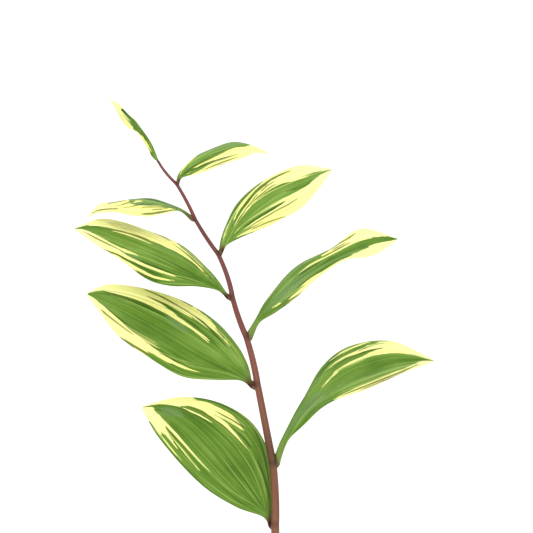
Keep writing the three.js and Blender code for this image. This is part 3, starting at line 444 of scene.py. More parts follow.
    "leaf_top": [
        ("green", "upper", [(-18.5, 25.2), (-13.5, 18.2), (-8.5, 13.3), (-6, 10.1), (-4.5, 7), (-4, 4.5),
         (-1.5, 0.5)]),
        ("cream", "upper", [(-23.5, 30.2), (-21, 28.8), (-16.5, 25), (-13, 21.5), (-12, 21)]),
        ("dark", [(-19, 26.8, 0.25), (-17.5, 25.1, 0.55), (-14, 22, 0.45)]),
        ("dark", [(-18, 24, 0.25), (-14, 18.8, 0.55), (-6.5, 10.8, 0.45), (-4.5, 7.5, 0.4)]),
        ("dark", [(-11.5, 20.2, 0.25), (-8.5, 17.2, 0.45), (-5.5, 13.2, 0.45), (-3.2, 9, 0.55),
         (-1.8, 5, 0.45)]),
        ("dark", [(-4.2, 4.8, 0.35), (-3, 2.5, 0.55), (-1.5, 1, 0.4)]),
        ("light", [(-16.8, 23.2, 0.25), (-15, 21.4, 0.45), (-13.5, 19.8, 0.25)]),
        ("light", [(-13, 21, 0.25), (-10.2, 18, 0.45), (-8, 15, 0.25)]),
        ("light", [(-6.5, 12, 0.25), (-4, 7.8, 0.5), (-2.8, 4, 0.4)]),
        ("bloom", [(-22.5, 28.5, 0.15), (-18.5, 22, 0.35), (-17, 20, 0.15)]),
    ],
}

# The blades' form: the foot's share of the length, the pleats and fine pleats across a blade, how far
# each half bulges for its width, and the ripples along the margins
FOOT_SHARE = 0.1
PLEATS = 5
FINE_PLEATS = 15
FINE_PLEAT_SHARE = 0.16
FINE_PLEAT_TURN = 3
HALF_BULGE = 0.07
RIPPLE_RATE = 17
RIPPLE_SKEW = 2
ROWS = 132
COLUMNS = 56
SLOPE_STEP_ALONG = 0.004
SLOPE_STEP_ACROSS = 0.04
EDGE_THICKNESS = 0.15
FLANK_FULLNESS = 1.6

# The petiole that runs from a blade's foot into the stem, in shares of the foot's width, the stem's
# radius and the foot's length
PETIOLE_ROWS = 10
PETIOLE_SLOPE = 0.8
HEEL_WIDTH = 0.4
HEEL_THICKNESS = 1.2
FOOT_LIMIT = 0.95
NECK_REACH = 1.4

# How the markings are found on a blade and drawn. Streaks, their probes, the blur and the hairlines
# are in millimetres. The stops, margins and ends are shares of a blade's width or length.
LOOKUP_ROWS = 400
LOOKUP_COLUMNS = 320
USUAL_WIDTH_RANK = 80
NEAREST_STOPS = 0.006
END_GAP = 0.001
BEYOND_MARGIN = 0.04
MARGIN_CATCH = 0.01
FOOT_END = 0.07
TIP_END = 0.86
STREAK_STEPS = 11
STREAK_TAPER = 0.3
TAPER_POWER = 0.6
STREAK_END = 0.15
STREAK_SPREAD = 1.1
STREAK_EXTRA = 0.12
STREAK_PROBE = 0.4
STREAK_OUTSIDE = -0.1
LEAST_RISE = 0.3
BROAD_STREAK = 1.0
MARKING_BLUR = 0.2
HAIRLINE_REACH = 3.0
HAIRLINE_WIDTH = 14.0

# How quickly each unevenness of a leaf changes for each millimetre along and across it, with its
# shift, detail and roughness
LEAF_NOISES = {
    "lanes": (0.022, 1.4, 20, 2.0, 0.7),
    "wobble": (0.3, 0.9, 0, 3.0, 0.6),
    "fine": (0.03, 1.9, 9, 3.0, 0.6),
    "broad": (0.022, 0.42, 5, 2.0, 0.5),
    "cloud": (0.07, 0.075, 3, 2.0, 0.5),
    "pale_hairs": (0.016, 1.5, 31, 1.0, 0.5),
    "green_hairs": (0.016, 1.3, 37, 1.0, 0.5),
}

# How soft each tone's edge is, as a factor on the blur, and how strongly it covers
TONES = {
    "cream": (1.0, 1.0),
    "green": (1.0, 1.0),
    "dark": (1.0, 0.85),
    "olive": (1.3, 0.85),
    # Painted shade: a soft golden tint over the cream
    "gold": (8.0, 0.3),
    "light": (1.6, 0.7),
    # Painted sheen: the soft grey-green patches where a blade faces the light
    "bloom": (9.0, 0.55),
    # Painted sheen over the green, where a blade faces the light
    "bloom_green": (1.6, 1.0),
}

# What changes along a leaf, from foot to tip: how pale the cream is, and how pale and red the foot is
CREAM_PALENESS = [(0.0, 0.0), (0.55, 0.1), (0.85, 0.6), (1.0, 1.0)]
FOOT_PALENESS = [(0.0, 1.0), (0.1, 0.6), (0.25, 0.0), (1.0, 0.0)]
FOOT_REDNESS = [(0.0, 1.0), (0.05, 0.9), (0.11, 0.3), (0.16, 0.0), (1.0, 0.0)]

# The leaves whose feet are less red than the others, and those whose stubs are partly green
REDNESS_SHARES = {"leaf_right_1": 0.1, "leaf_right_2": 0.15, "leaf_left_4": 0.6, "leaf_top": 0.1}
GREEN_STUBS = {"leaf_right_1": 0.45, "leaf_right_2": 0.4, "leaf_top": 0.6}

# The stem's form, its lengths in millimetres and its shares of the radius. It swells towards a leaf
# and shrinks a little behind it. Each set of grooves has a count, a turn and a depth.
STEM_SIDES = 28
STEM_STEP = 0.45
STEM_SMOOTHING = 0.9
JOINT_SWELLING = 0.12
JOINT_REACH = 1.8
BEHIND_LEAF = -0.3
GROOVES = [(5, 0, 0.012), (9, 1, 0.008)]

# Where a leaf's foot and its blade start, as shares of the leaf's length
LEAF_START = 0.02
BLADE_START = 0.05

# The stub round each leaf's foot, in shares of the stem's radius and of the foot's width. Its end
# grips the leaf at these shares of the leaf's length.
STUB_ROWS = 12
STUB_SIDES = 20
STUB_DROP = 1.6
STUB_FORWARD = 0.25
STUB_RISE = 0.2
STUB_BEND = 0.4
STUB_START = 0.75
STUB_CLASP = 1.02
STUB_DEPTH = 0.6
STUB_GRIPS = (0.0, 0.006, 0.012)
GRIP_WIDTH = 0.98
STUB_RIDGES = 7
RIDGE_DEPTH = 0.03
STUB_SHARE = 0.7

# How far a stub reaches on the stem's scale from foot to top, for its stripes
STUB_ALONG = 0.004

# How dark the stem is all round a joint, as a share of the leaf's side, and how far that reaches
JOINT_DARKNESS = 0.45
DARK_REACH = 1.8
STUB_FADING = 0.35

# Stretches of the stem that are darker or, below nought, paler: height, reach and depth of shade
FLUSHES = [(261, 9, 0.4), (371, 6, 0.2), (305, 14, -0.14)]

# How the stem's colour changes from its foot to its top
REDDENING = [(0.0, 0.0), (0.45, 0.1), (0.75, 0.8), (1.0, 1.0)]
GREENNESS = [(0.0, 1.0), (0.5, 0.7), (0.8, 0.1), (1.0, 0.0)]

# The pot, in millimetres
POT_HEIGHT = 115.0
POT_RIM_RADIUS = 65.0
POT_FOOT_RADIUS = 44.0
RIM_BAND_HEIGHT = 27.0
RIM_STEP = 5.5
BAND_SHOULDER = 2.0
BAND_UNDERCUT = 3.2
BAND_EDGE = (1.8, 1.6)
POT_WALL = 5.2
POT_FLOOR = 7.0
DRAIN_RADIUS = 7.0
FLOOR_FILLET = 3.0
FOOT_EDGE = 1.6
RIM_EDGE = 2.4
CORNER_REACH = 1.0
CORNER_PASSES = 2
LONGEST_STEP = 4.0
POT_SIDES = 144
BAND_FOOT = POT_HEIGHT - RIM_BAND_HEIGHT
BODY_TOP_RADIUS = POT_RIM_RADIUS - RIM_STEP - BAND_SHOULDER

# How far the pot's outside wanders from round, and how quickly round it and up it
CLAY_WANDER = 0.22
WANDER_ROUND = 1.3
WANDER_UP = 18
WANDER_SEED = 4

# Where the salt bloom lies, from the pot's foot to its rim
SALT_UP = [(0.0, 0.9), (0.06, 0.35), (0.5, 0.08), (0.74, 0.1), (0.9, 0.35), (1.0, 1.0)]

# The soil, in millimetres, with the size, depth and seed of its small crumbs
SOIL_DEPTH_BELOW_RIM = 14.0
SOIL_RELIEF = 1.3
SOIL_SLUMP = 2.5
SLUMP_START = 1 - 1 / 8
SOIL_STEPS = 96
CLEARANCE = 0.3
SOIL_INSET = 0.2
CRUMB_RELIEF = 0.8
SMALL_CRUMBS = [(2.6, 0.55, 1), (1.1, 0.35, 2), (0.5, 0.2, 3)]
SOIL_SURFACE = POT_HEIGHT - SOIL_DEPTH_BELOW_RIM

# The loose crumbs: how many, how far from the wall, how high they sit for their size, and which are
# grit and which are bark
CRUMBS = 420
CRUMB_GAP = 3
CRUMB_LIFT = 0.15
CRUMB_SEED = 7
LUMP_SEED = 5
CRUMB_ROUGHNESS = 0.28
GRIT_SHARE = 0.16
BARK_SHARE = 0.4
PLAIN, BARK, GRIT = 0.0, 0.5, 1.0
BARK_SIZE = 1.35
BARK_STRETCH = 1.6

# The floor just below the pot, the main light and how far the camera sees, in metres
FLOOR_DROP = 0.0002
FLOOR_SIDES = 96
LIGHT_PLACE = (-0.7, -1.1, 1.4)
LIGHT_TARGET = (0, 0, 0.3)
LIGHT_SIZE = 0.7
FAR_LIMIT = 20


class Value:
    """A node's output socket, with which sums are written as plain expressions."""

    def __init__(self, nodes, socket):
        self.nodes = nodes
        self.socket = socket

    def math(self, operation, first, second=0.0):
        return self.nodes.add("ShaderNodeMath", {"operation": operation}, {0: first, 1: second})

    def __add__(self, other):
        return self.math("ADD", self, other)

    def __radd__(self, other):
        return self.math("ADD", other, self)

    def __sub__(self, other):
        return self.math("SUBTRACT", self, other)

    def __rsub__(self, other):
        return self.math("SUBTRACT", other, self)

    def __mul__(self, other):
        return self.math("MULTIPLY", self, other)

    def __rmul__(self, other):
        return self.math("MULTIPLY", other, self)

    def __truediv__(self, other):
        return self.math("DIVIDE", self, other)

    def __pow__(self, other):
        return self.math("POWER", self, other)

    def __abs__(self):
        return self.math("ABSOLUTE", self)

    def wave(self):
        return self.math("SINE", self)

    def clamped(self):
        return self.nodes.add("ShaderNodeClamp", {}, {0: self})


class Nodes:
    """A material's node tree, to which nodes are added by type, settings and sockets."""

    def __init__(self, name):
        self.material = bpy.data.materials.new(name)
        self.material.use_nodes = True
        self.tree = self.material.node_tree
        self.tree.nodes.clear()

    def add(self, kind, settings, sockets, output=0):
        node = self.tree.nodes.new(kind)
        for name, setting in settings.items():
            if name == "stops":
                self.set_stops(node.color_ramp, setting)
            elif name == "points":
                self.set_points(node.mapping, setting)
            else:
                setattr(node, name, setting)
        for name, given in sockets.items():
            socket = node.inputs[name]
            if isinstance(given, Value):
                self.tree.links.new(given.socket, socket)
            elif socket.type == "VECTOR":
                socket.default_value = tuple(given)[:3]
            else:
                socket.default_value = given
        return Value(self, node.outputs[output]) if node.outputs else node

    @staticmethod
    def set_stops(ramp, stops):
        while len(ramp.elements) < len(stops):
            ramp.elements.new(1.0)
        for element, (place, colour) in zip(ramp.elements, stops):
            element.position = place
            element.color = colour

    @staticmethod
    def set_points(mapping, points):
        mapping.use_clip = False
        curve = mapping.curves[0]
        curve.points[0].location = points[0]
        curve.points[1].location = points[-1]
        for place in points[1:-1]:
            curve.points.new(*place)
        for point in curve.points:
            point.handle_type = "AUTO_CLAMPED"
        mapping.update()

    def mix(self, share, first, second):
        """A colour between two others."""
        return self.add("ShaderNodeMix", {"data_type": "RGBA"}, {0: share, 6: first, 7: second}, 2)

    def shade(self, colour, factor):
        """A colour made brighter or darker."""
        grey = self.joined(factor, factor, factor)
        return self.add("ShaderNodeVectorMath", {"operation": "MULTIPLY"}, {0: colour, 1: grey})

    def joined(self, x, y, z):
        return self.add("ShaderNodeCombineXYZ", {}, {0: x, 1: y, 2: z})

    def noise(self, place, scale, detail=2.0, roughness=0.5):
        sockets = {"Vector": place, "Scale": scale, "Detail": detail, "Roughness": roughness}
        return self.add("ShaderNodeTexNoise", {}, sockets)

    def curve(self, share, points):
        """A value that follows a smooth line of points over another value."""
        return self.add("ShaderNodeFloatCurve", {"points": points}, {"Value": share})

    def stored(self, name):
        """A value that the piece's own points carry."""
        return self.add("ShaderNodeAttribute", {"attribute_name": name}, {}, 2)

    def object_place(self):
        return self.add("ShaderNodeTexCoord", {}, {}, 3)

    def split(self, place):
        parts = [self.add("ShaderNodeSeparateXYZ", {}, {0: place})]
        node = parts[0].socket.node
        return [Value(self, output) for output in node.outputs]

    def uv(self):
        """The places along and across a piece."""
        return self.split(self.add("ShaderNodeUVMap", {"uv_map": "UVMap"}, {}))[:2]

    def bump(self, height, distance, strength):
        sockets = {"Height": height, "Distance": distance, "Strength": strength}
        return self.add("ShaderNodeBump", {}, sockets)

    def finish(self, sockets):
        """Adds the shader and the output, and gives the finished material."""
        shader = self.add("ShaderNodeBsdfPrincipled", {}, sockets)
        self.add("ShaderNodeOutputMaterial", {}, {0: shader})
        return self.material


def linear(red, green, blue):
    """A colour given as screen values of 0 to 255."""
    shares = [channel / 255 for channel in (red, green, blue)]
    return (*[s / 12.92 if s <= 0.04045 else ((s + 0.055) / 1.055) ** 2.4 for s in shares], 1.0)


def colour_property(name, description, default):
    """A setting for a colour."""
    return bpy.props.FloatVectorProperty(
        name=name, description=description, default=default, size=4, subtype="COLOR", min=0, max=1
    )


def length_property(name, description, default):
    """A setting for a length in metres."""
    return bpy.props.FloatProperty(
        name=name, description=description, default=default, min=0, subtype="DISTANCE", unit="LENGTH"
    )


class LeafLook(bpy.types.PropertyGroup):
    """The leaves' sizes and colours."""

    thickness: length_property("Blade thickness", "How thick a blade is at its middle", 0.0004)
    foot_thickness: length_property("Foot thickness", "How thick a leaf is at its foot", 0.0014)
    pleat_height: length_property("Pleat height", "Depth of the lengthwise pleats", 0.0003)
    vein_depth: length_property("Vein depth", "Depth of the fine veins", 0.00012)
    feathering: bpy.props.FloatProperty(
        name="Feathering", description="How unevenly the cream ends along the veins", default=0.3
    )
    green: colour_property("Green", "The middle band", linear(88, 128, 30))
    dark: colour_property("Dark green", "The darkest streaks", linear(56, 90, 8))
    olive: colour_property("Olive", "The fine dark lines within the cream", linear(98, 106, 8))
    light: colour_property("Light green", "The palest veins in the green", linear(140, 172, 78))
    cream: colour_property("Cream", "The margins and streaks", linear(243, 238, 128))
    # The grey-green of the waxy bloom on the undersides, also used for the painted sheen patches on the
    # upper sides
    bloom: colour_property("Bloom", "The waxy grey-green patches", linear(112, 142, 88))
    pale_cream: colour_property("Pale cream", "The lightest part of the cream", linear(254, 252, 205))
    veins: bpy.props.FloatProperty(name="Veins", description="Fine veins for each millimetre", default=0.5)
    foot: colour_property("Foot", "The pale foot of a leaf", linear(150, 170, 100))
    heel: colour_property("Heel", "Where a leaf meets the stem", linear(84, 42, 34))


class StemLook(bpy.types.PropertyGroup):
    """The stem's colours."""

    lower: colour_property("Lower skin", "The skin low on the stem", linear(126, 79, 54))
    upper: colour_property("Upper skin", "The skin near the top", linear(116, 60, 58))
    joint: colour_property("Joints", "The skin at the joints", linear(72, 32, 28))
    olive: colour_property("Olive", "The greener stripes", linear(138, 128, 66))
    sprout: colour_property("Sprout", "Where a stub turns into a leaf", linear(112, 112, 56))
    groove_depth: length_property("Groove depth", "Depth of the lengthwise grooves", 0.0001)


class PotLook(bpy.types.PropertyGroup):
    """The pot's and the soil's colours."""

    clay: colour_property("Clay", "The fired clay", linear(186, 106, 70))
    pale_clay: colour_property("Pale clay", "The clay where it has dried", linear(214, 148, 112))
    salt: colour_property("Salt", "The white bloom on old clay", linear(226, 205, 188))
    soil: colour_property("Soil", "The damp soil", linear(62, 46, 34))
    dry_soil: colour_property("Dry soil", "The crumbs that have dried", linear(104, 82, 62))
    bark: colour_property("Bark", "The bits of bark", linear(112, 74, 46))
    grit: colour_property("Grit", "The white grit", linear(222, 216, 204))


class StageLook(bpy.types.PropertyGroup):
    """The floor, the lights and the camera."""

    floor: colour_property("Floor", "The plain floor", linear(236, 235, 232))
    floor_radius: length_property("Floor radius", "How far the floor reaches", 0.9)
    surround: bpy.props.FloatProperty(name="Surround", description="Even light from all round", default=1.2)
    key: bpy.props.FloatProperty(name="Key light", description="Power of the main light", default=6.0,
                                 unit="POWER")


def through(values, t):
    """A smooth value through three given ones, at the start, middle and end."""
    start, middle, end = values
    return start * (1 - t) * (1 - 2 * t) + 4 * middle * t * (1 - t) + end * t * (2 * t - 1)


def round_angles(sides):
    """The angles of points spread evenly round a circle."""
    return 2 * np.pi * np.arange(sides) / sides


def smooth_step(t, low, high):
    """A smooth rise from 0 to 1 between two values of t."""
    share = np.clip((t - low) / (high - low), 0, 1)
    return share * share * (3 - 2 * share)


def spline(stations, t):
    """Points along a smooth line through the stations, for shares t of its length."""
    stations = np.array(stations, float)
    last = len(stations) - 1
    place = np.clip(t, 0, 1) * last
    start = np.minimum(place.astype(int), last - 1)
    share = (place - start)[..., None]
    before = stations[np.maximum(start - 1, 0)]
    here = stations[start]
    there = stations[start + 1]
    after = stations[np.minimum(start + 2, last)]
    leave = (there - before) / 2
    arrive = (after - here) / 2
    cubic = (2 * here - 2 * there + leave + arrive) * share**3
    square = (3 * there - 3 * here - 2 * leave - arrive) * share**2
    return cubic + square + leave * share + here


def spread(x, y, z):
    """Points of the front elevation at their depth, spread from the line of sight."""
    factor = 1 + y / VIEW_DISTANCE
    return np.stack([VIEW_X + (x - VIEW_X) * factor, y + 0 * x, VIEW_Z + (z - VIEW_Z) * factor], -1)


def front_elevation(points):
    """The x and z at which points show on the front elevation."""
    factor = 1 + points[..., 1] / VIEW_DISTANCE
    x = VIEW_X + (points[..., 0] - VIEW_X) / factor
    z = VIEW_Z + (points[..., 2] - VIEW_Z) / factor
    return np.stack([x, z], -1)


def joint_point(index):
    """A joint's place in space."""
    x, y, z = STEM_JOINTS[index][:3]
    return spread(np.float64(x), np.float64(y), np.float64(z))


def units(vectors):
    """The same directions, each one unit long."""
    return vectors / np.maximum(np.linalg.norm(vectors, axis=-1, keepdims=True), 1e-9)


def blade_layer(leaf, t, s):
    """Points of a leaf's middle layer, t from foot to tip and s from the lower margin to the upper."""
    middle = spline(leaf["middle"], t)
    upper = spline(leaf["upper"], t)
    lower = spline(leaf["lower"], t)
    out = np.where((s < 0)[..., None], lower, upper) - middle
    lean = np.radians(np.where(s < 0, through(leaf["lean_low"], t), through(leaf["lean_up"], t)))
    back = through(leaf["bow"], t) + s * np.linalg.norm(out, axis=-1) * np.tan(lean)
    half = np.abs(s)
    x = leaf["root"][0] + middle[..., 0] + half * out[..., 0]
    z = leaf["root"][1] + middle[..., 1] + half * out[..., 1]
    return spread(x, STEM_JOINTS[leaf["joint"]][1] + back, z)


def blade_point(leaf, t, s):
    """A single point of a leaf's middle layer."""
    return blade_layer(leaf, np.array([t]), np.array([s]))[0]


def blade_net(leaf, rows, columns, pleat_height):
    """A leaf's places t and s, the points there with all pleats and ripples, and the normals."""
    t, s = np.meshgrid(np.linspace(0, 1, rows + 1), np.linspace(-1, 1, columns + 1), indexing="ij")
    points = blade_layer(leaf, t, s)
    onward, backward = (np.clip(t + step, 0, 1) for step in (SLOPE_STEP_ALONG, -SLOPE_STEP_ALONG))
    higher, lower = (np.clip(s + step, -1, 1) for step in (SLOPE_STEP_ACROSS, -SLOPE_STEP_ACROSS))
    along = blade_layer(leaf, onward, s) - blade_layer(leaf, backward, s)
    across = blade_layer(leaf, t, higher) - blade_layer(leaf, t, lower)
    normals = units(np.cross(along, across))
    normals *= -np.sign(normals[..., 1:2])
    margin = np.where((s < 0)[..., None], points[:, :1], points[:, -1:])
    half_width = np.linalg.norm(margin - points[:, columns // 2][:, None], axis=-1)
    half = np.abs(s)
    fade = np.sin(np.pi * np.clip((t - FOOT_SHARE) / (1 - FOOT_SHARE), 0, 1))
    bulge = HALF_BULGE * half_width * 4 * half * (1 - half)
    fine_pleats = np.cos(np.pi * FINE_PLEATS * s + FINE_PLEAT_TURN * t)
    pleats = np.cos(np.pi * PLEATS * s) + FINE_PLEAT_SHARE * fine_pleats
    pleat = -pleat_height * pleats * (1 - half**4)
    ripple = leaf["wave"] * half**3 * np.sin(RIPPLE_RATE * t + RIPPLE_SKEW * s + leaf["joint"])
    points = points + normals * (fade * (bulge + pleat + ripple))[..., None]
    return t, s, points, normals


def add_piece(name, points, faces, uvs, material, node, stored=None):
    """A mesh of points in millimetres, as a piece of the plant that stands for a solid.

    A face that crosses the seam of a closed round gets places beyond 1, so that none runs backwards.
    """
    mesh = bpy.data.meshes.new(name)
    mesh.from_pydata((np.asarray(points) * MM).tolist(), [], faces)
    corners = np.empty(len(mesh.loops), np.int64)
    mesh.loops.foreach_get("vertex_index", corners)
    places = np.asarray(uvs, np.float32)[corners]
    half_round = 0.5
    starts = np.empty(len(mesh.polygons), np.int64)
    mesh.polygons.foreach_get("loop_start", starts)
    for axis in range(2):
        face_high = np.maximum.reduceat(places[:, axis], starts)
        high = np.repeat(face_high, np.diff(np.append(starts, len(corners))))
        places[high - places[:, axis] > half_round, axis] += 1
    mesh.uv_layers.new(name="UVMap").data.foreach_set("uv", places.ravel())
    for key, values in (stored or {}).items():
        carried = mesh.attributes.new(key, "FLOAT", "POINT")
        carried.data.foreach_set("value", np.asarray(values, np.float32))
    mesh.polygons.foreach_set("use_smooth", np.ones(len(mesh.polygons), bool))
    mesh.materials.append(material)
    mesh.validate()
    mesh.update()
    piece = bpy.data.objects.new(name, mesh)
    bpy.context.scene.collection.objects.link(piece)
    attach(piece, "root")
    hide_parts(node)


def net_faces(rows, columns, start=0, closed=False):
    """Quads between the rows of a net of points, closed round if wanted."""
    wide = columns if closed else columns + 1
    faces = []
    for row in range(rows):
        for column in range(columns):
            a = start + row * wide + column
            b = start + row * wide + (column + 1) % wide
            faces.append((a, b, b + wide, a + wide))
    return faces


class LeafPlaces:
    """Finds where a point, given from a leaf's root in the front elevation, lies on the blade."""

    def __init__(self, leaf, pleat_height):
        t, s, points, _ = blade_net(leaf, LOOKUP_ROWS, LOOKUP_COLUMNS, pleat_height)
        self.along = t
        self.across = (s + 1) / 2
        self.seen = front_elevation(points) - np.array(leaf["root"])
        widths = np.linalg.norm(self.seen[:, -1] - self.seen[:, 0], axis=-1)
        self.width = float(np.percentile(widths, USUAL_WIDTH_RANK))

    def find(self, x, z):
        """The place along and the place across."""
        gap = (self.seen[..., 0] - x) ** 2 + (self.seen[..., 1] - z) ** 2
        index = np.unravel_index(np.argmin(gap), gap.shape)
        return self.along[index], self.across[index]

    def find_band(self, x, z, side_x, side_z, reach):
        """The place along, the middle place across, and the rise across in a millimetre seen.

        A band whose one side runs off the blade is taken to be as wide on that side as on the other.
        """
        t, v = self.find(x, z)
        low = self.find(x - side_x * reach, z - side_z * reach)[1]
        high = self.find(x + side_x * reach, z + side_z * reach)[1]
        low, high = min(low, high), max(low, high)
        if low <= 0 < v:
            low = max(2 * v - high, -BEYOND_MARGIN)
        if high >= 1 > v:
            high = min(2 * v - low, 1 + BEYOND_MARGIN)
        return t, (low + high) / 2, max((high - low) / (2 * reach), LEAST_RISE / self.width)


def in_order(points):
    """Points in rising order of their first value, which may not turn back along the line as drawn."""
    direction = 1 if points[-1][0] > points[0][0] else -1
    kept = [points[0]]
    for point in points[1:]:
        place = point[0]
        if (place - kept[-1][0]) * direction < NEAREST_STOPS:
            place = kept[-1][0] + direction * NEAREST_STOPS
        kept.append((place, *point[1:]))
    return sorted(kept)


def spanning(points, before, after):
    """Points that also reach from 0 to 1, with other values beyond the ends if given."""
    first, last = points[0], points[-1]
    low = [(0.0, first[1] if before is None else before)]
    high = [(1.0, last[1] if after is None else after)]
    if before is not None:
        low.append((max(first[0] - 2 * NEAREST_STOPS, END_GAP), before))
    if after is not None:
        high.insert(0, (min(last[0] + 2 * NEAREST_STOPS, 1 - END_GAP), after))
    inner = [point for point in points if low[-1][0] + END_GAP < point[0] < high[0][0] - END_GAP]
    return low + inner + high


def edge_depth(nodes, places, line, margin, along, across):
    """How deep a place lies in what a line parts off along one margin, as a share of the width.

    A point drawn on a margin counts as beyond it, so that no seam of the ground colour shows there.
    """
    outside = 1 + BEYOND_MARGIN if margin == "upper" else -BEYOND_MARGIN
    points = []
    for x, z in line:
        t, v = places.find(x, z)
        if v > 1 - MARGIN_CATCH:
            v = 1 + BEYOND_MARGIN
        if v < MARGIN_CATCH:
            v = -BEYOND_MARGIN
        points.append((t, v))
    points = in_order(points)
    before = outside if points[0][0] > FOOT_END else None
    after = outside if points[-1][0] < TIP_END else None
    border = nodes.curve(along, spanning(points, before, after))
    return across - border if margin == "upper" else border - across


def streak_depth(nodes, places, line, along, across):
    """How deep a place lies in a streak that tapers at its ends, as a share of the width."""
    steps = np.linspace(0, 1, STREAK_STEPS)
    drawn = spline(line, steps)
    onward = units(np.gradient(drawn[:, :2], axis=0))
    taper = np.clip(np.minimum(steps, 1 - steps) / STREAK_TAPER, 0, 1) ** TAPER_POWER
    stations = []
    for (x, z, width), (run_x, run_z), share in zip(drawn, onward, taper):
        wide = width * STREAK_SPREAD + STREAK_EXTRA
        t, v, rise = places.find_band(x, z, -run_z, run_x, max(wide / 2, STREAK_PROBE))
        stations.append((t, v, (wide * share / 2 - STREAK_END * (share == 0)) * rise))
    stations = in_order(stations)
    middles = [(t, v) for t, v, _ in stations]
    halves = [(t, half) for t, _, half in stations]
    centre = nodes.curve(along, spanning(middles, None, None))
    half = nodes.curve(along, spanning(halves, STREAK_OUTSIDE, STREAK_OUTSIDE))
    return half - abs(across - centre)


class LeafNoises:
    """The unevenness of one leaf's skin, and its places along and across in shares."""

    def __init__(self, nodes, leaf, width):
        self.nodes = nodes
        self.along, self.across = nodes.uv()
        self.length = float(np.linalg.norm(leaf["middle"][-1]))
        self.width = width
        self.seed = 1.7 * leaf["joint"]

    def noise(self, kind):
        along_rate, across_rate, shift, detail, roughness = LEAF_NOISES[kind]
        x = self.along * (along_rate * self.length)
        y = self.across * (across_rate * self.width)
        return self.nodes.noise(self.nodes.joined(x, y, self.seed + shift), 1.0, detail, roughness)


def leaf_tones(nodes, look, along, fine, broad, cloud):
    """The colours of the markings. The green and the cream vary along the veins.

    Where noise is multiplied and shifted, the factor sets the contrast and the shift the share.
    """
    lightness = (fine - 0.5) * 1.5 + (broad - 0.5) * 1.5 + (cloud - 0.5) * 0.8
    green = nodes.mix((lightness + 0.08).clamped(), look.green, look.light)
    green = nodes.mix((lightness * -1.7 - 0.02).clamped(), green, look.dark)
    pallor = (fine * 1.2 - 0.4 + nodes.curve(along, CREAM_PALENESS) * 0.35).clamped()
    return {
        "cream": nodes.mix(pallor, look.cream, look.pale_cream),
        "green": green,
        "dark": look.dark,
        "olive": look.olive,
        # The painted shade in the cream takes the olive
        "gold": look.olive,
        "light": look.light,
        # The painted sheen patches take the grey-green of the bloom
        "bloom": look.bloom,
        # Painted sheen over the green
        "bloom_green": nodes.mix(0.85, green, look.bloom),
    }


def paint_markings(nodes, places, markings, tones, ground, look, noises):
    """The markings over the ground colour, with fine hairlines near the lines of the edges."""
    narrow = places.width < HAIRLINE_WIDTH
    blur = MARKING_BLUR / places.width
    along = noises.along
    lanes = noises.noise("lanes") - 0.5
    wobble = noises.noise("wobble") - 0.5
    feathered = along + lanes * (1.1 - along) * look.feathering
    wavering = noises.across + wobble * (blur * 1.5)
    colour = tones[ground]
    near = 0.0
    for tone, *margin, line in markings:
        softness, strength = TONES[tone]
        if margin:
            depth = edge_depth(nodes, places, line, margin[0], feathered, wavering)
            near = near + (1 - abs(depth) * (places.width / HAIRLINE_REACH)).clamped()
        else:
            # Narrow streaks and the painted sheen patches run straight, not feathered along the veins
            straight = narrow or tone == "bloom" or max(point[2] for point in line) < BROAD_STREAK
            place = along if straight else (along + feathered) * 0.5
            depth = streak_depth(nodes, places, line, place, wavering)
        share = (depth / (blur * softness) + 0.5).clamped() * strength
        colour = nodes.mix(share, colour, tones[tone])
    if not narrow:
        pale_hairs = (noises.noise("pale_hairs") * 9 - 5.4).clamped() * near.clamped()
        green_hairs = (noises.noise("green_hairs") * 9 - 5.5).clamped() * near.clamped()
        colour = nodes.mix(pale_hairs * 0.75, colour, tones["cream"])
        colour = nodes.mix(green_hairs * 0.75, colour, look.green)
    return colour


def leaf_skin(name, leaf, look):
    """The cream-edged skin of one leaf, with its own streaks."""
    nodes = Nodes(name + "_skin")
    places = LeafPlaces(leaf, look.pleat_height / MM)
    noises = LeafNoises(nodes, leaf, places.width)
    along, across = noises.along, noises.across
    fine = noises.noise("fine")
    broad = noises.noise("broad")
    cloud = noises.noise("cloud")
    tones = leaf_tones(nodes, look, along, fine, broad, cloud)
    ground = leaf.get("ground", "green")
    colour = paint_markings(nodes, places, MARKINGS[name], tones, ground, look, noises)
    veins = ((across * (2 * math.pi * places.width * look.veins) + broad * 5).wave() * 0.5 + 0.5) ** 6
    colour = nodes.mix(veins * (cloud * 1.6 - 0.3).clamped() * 0.45, colour, look.light)
    colour = nodes.shade(colour, 1.02 - fine * 0.06)
    pale_foot = nodes.curve(along, FOOT_PALENESS) * (fine * 1.2 - 0.1).clamped()
    colour = nodes.mix(pale_foot, colour, look.foot)
    red_foot = nodes.curve(along, FOOT_REDNESS) * (1.3 - across * 1.2).clamped()
    red = nodes.stored("heel") * 1.2 + red_foot * (fine + 0.6) * REDNESS_SHARES.get(name, 1.0)
    colour = nodes.mix(red.clamped(), colour, look.heel)
    # The underside is paler, in the grey-green of its waxy bloom
    under = nodes.stored("underside")
    colour = nodes.mix(under * 0.35, colour, look.bloom)
    return nodes.finish({
        "Base Color": colour,
        "Roughness": 0.46 + cloud * 0.1 + under * 0.1,
        "Normal": nodes.bump(fine * 0.5 + veins * 0.5, look.vein_depth, 0.6),
        "Specular IOR Level": 0.2,
        "Subsurface Weight": 0.08,
        "Subsurface Radius": (0.5, 0.8, 0.2),
        "Subsurface Scale": 0.0006,
    })


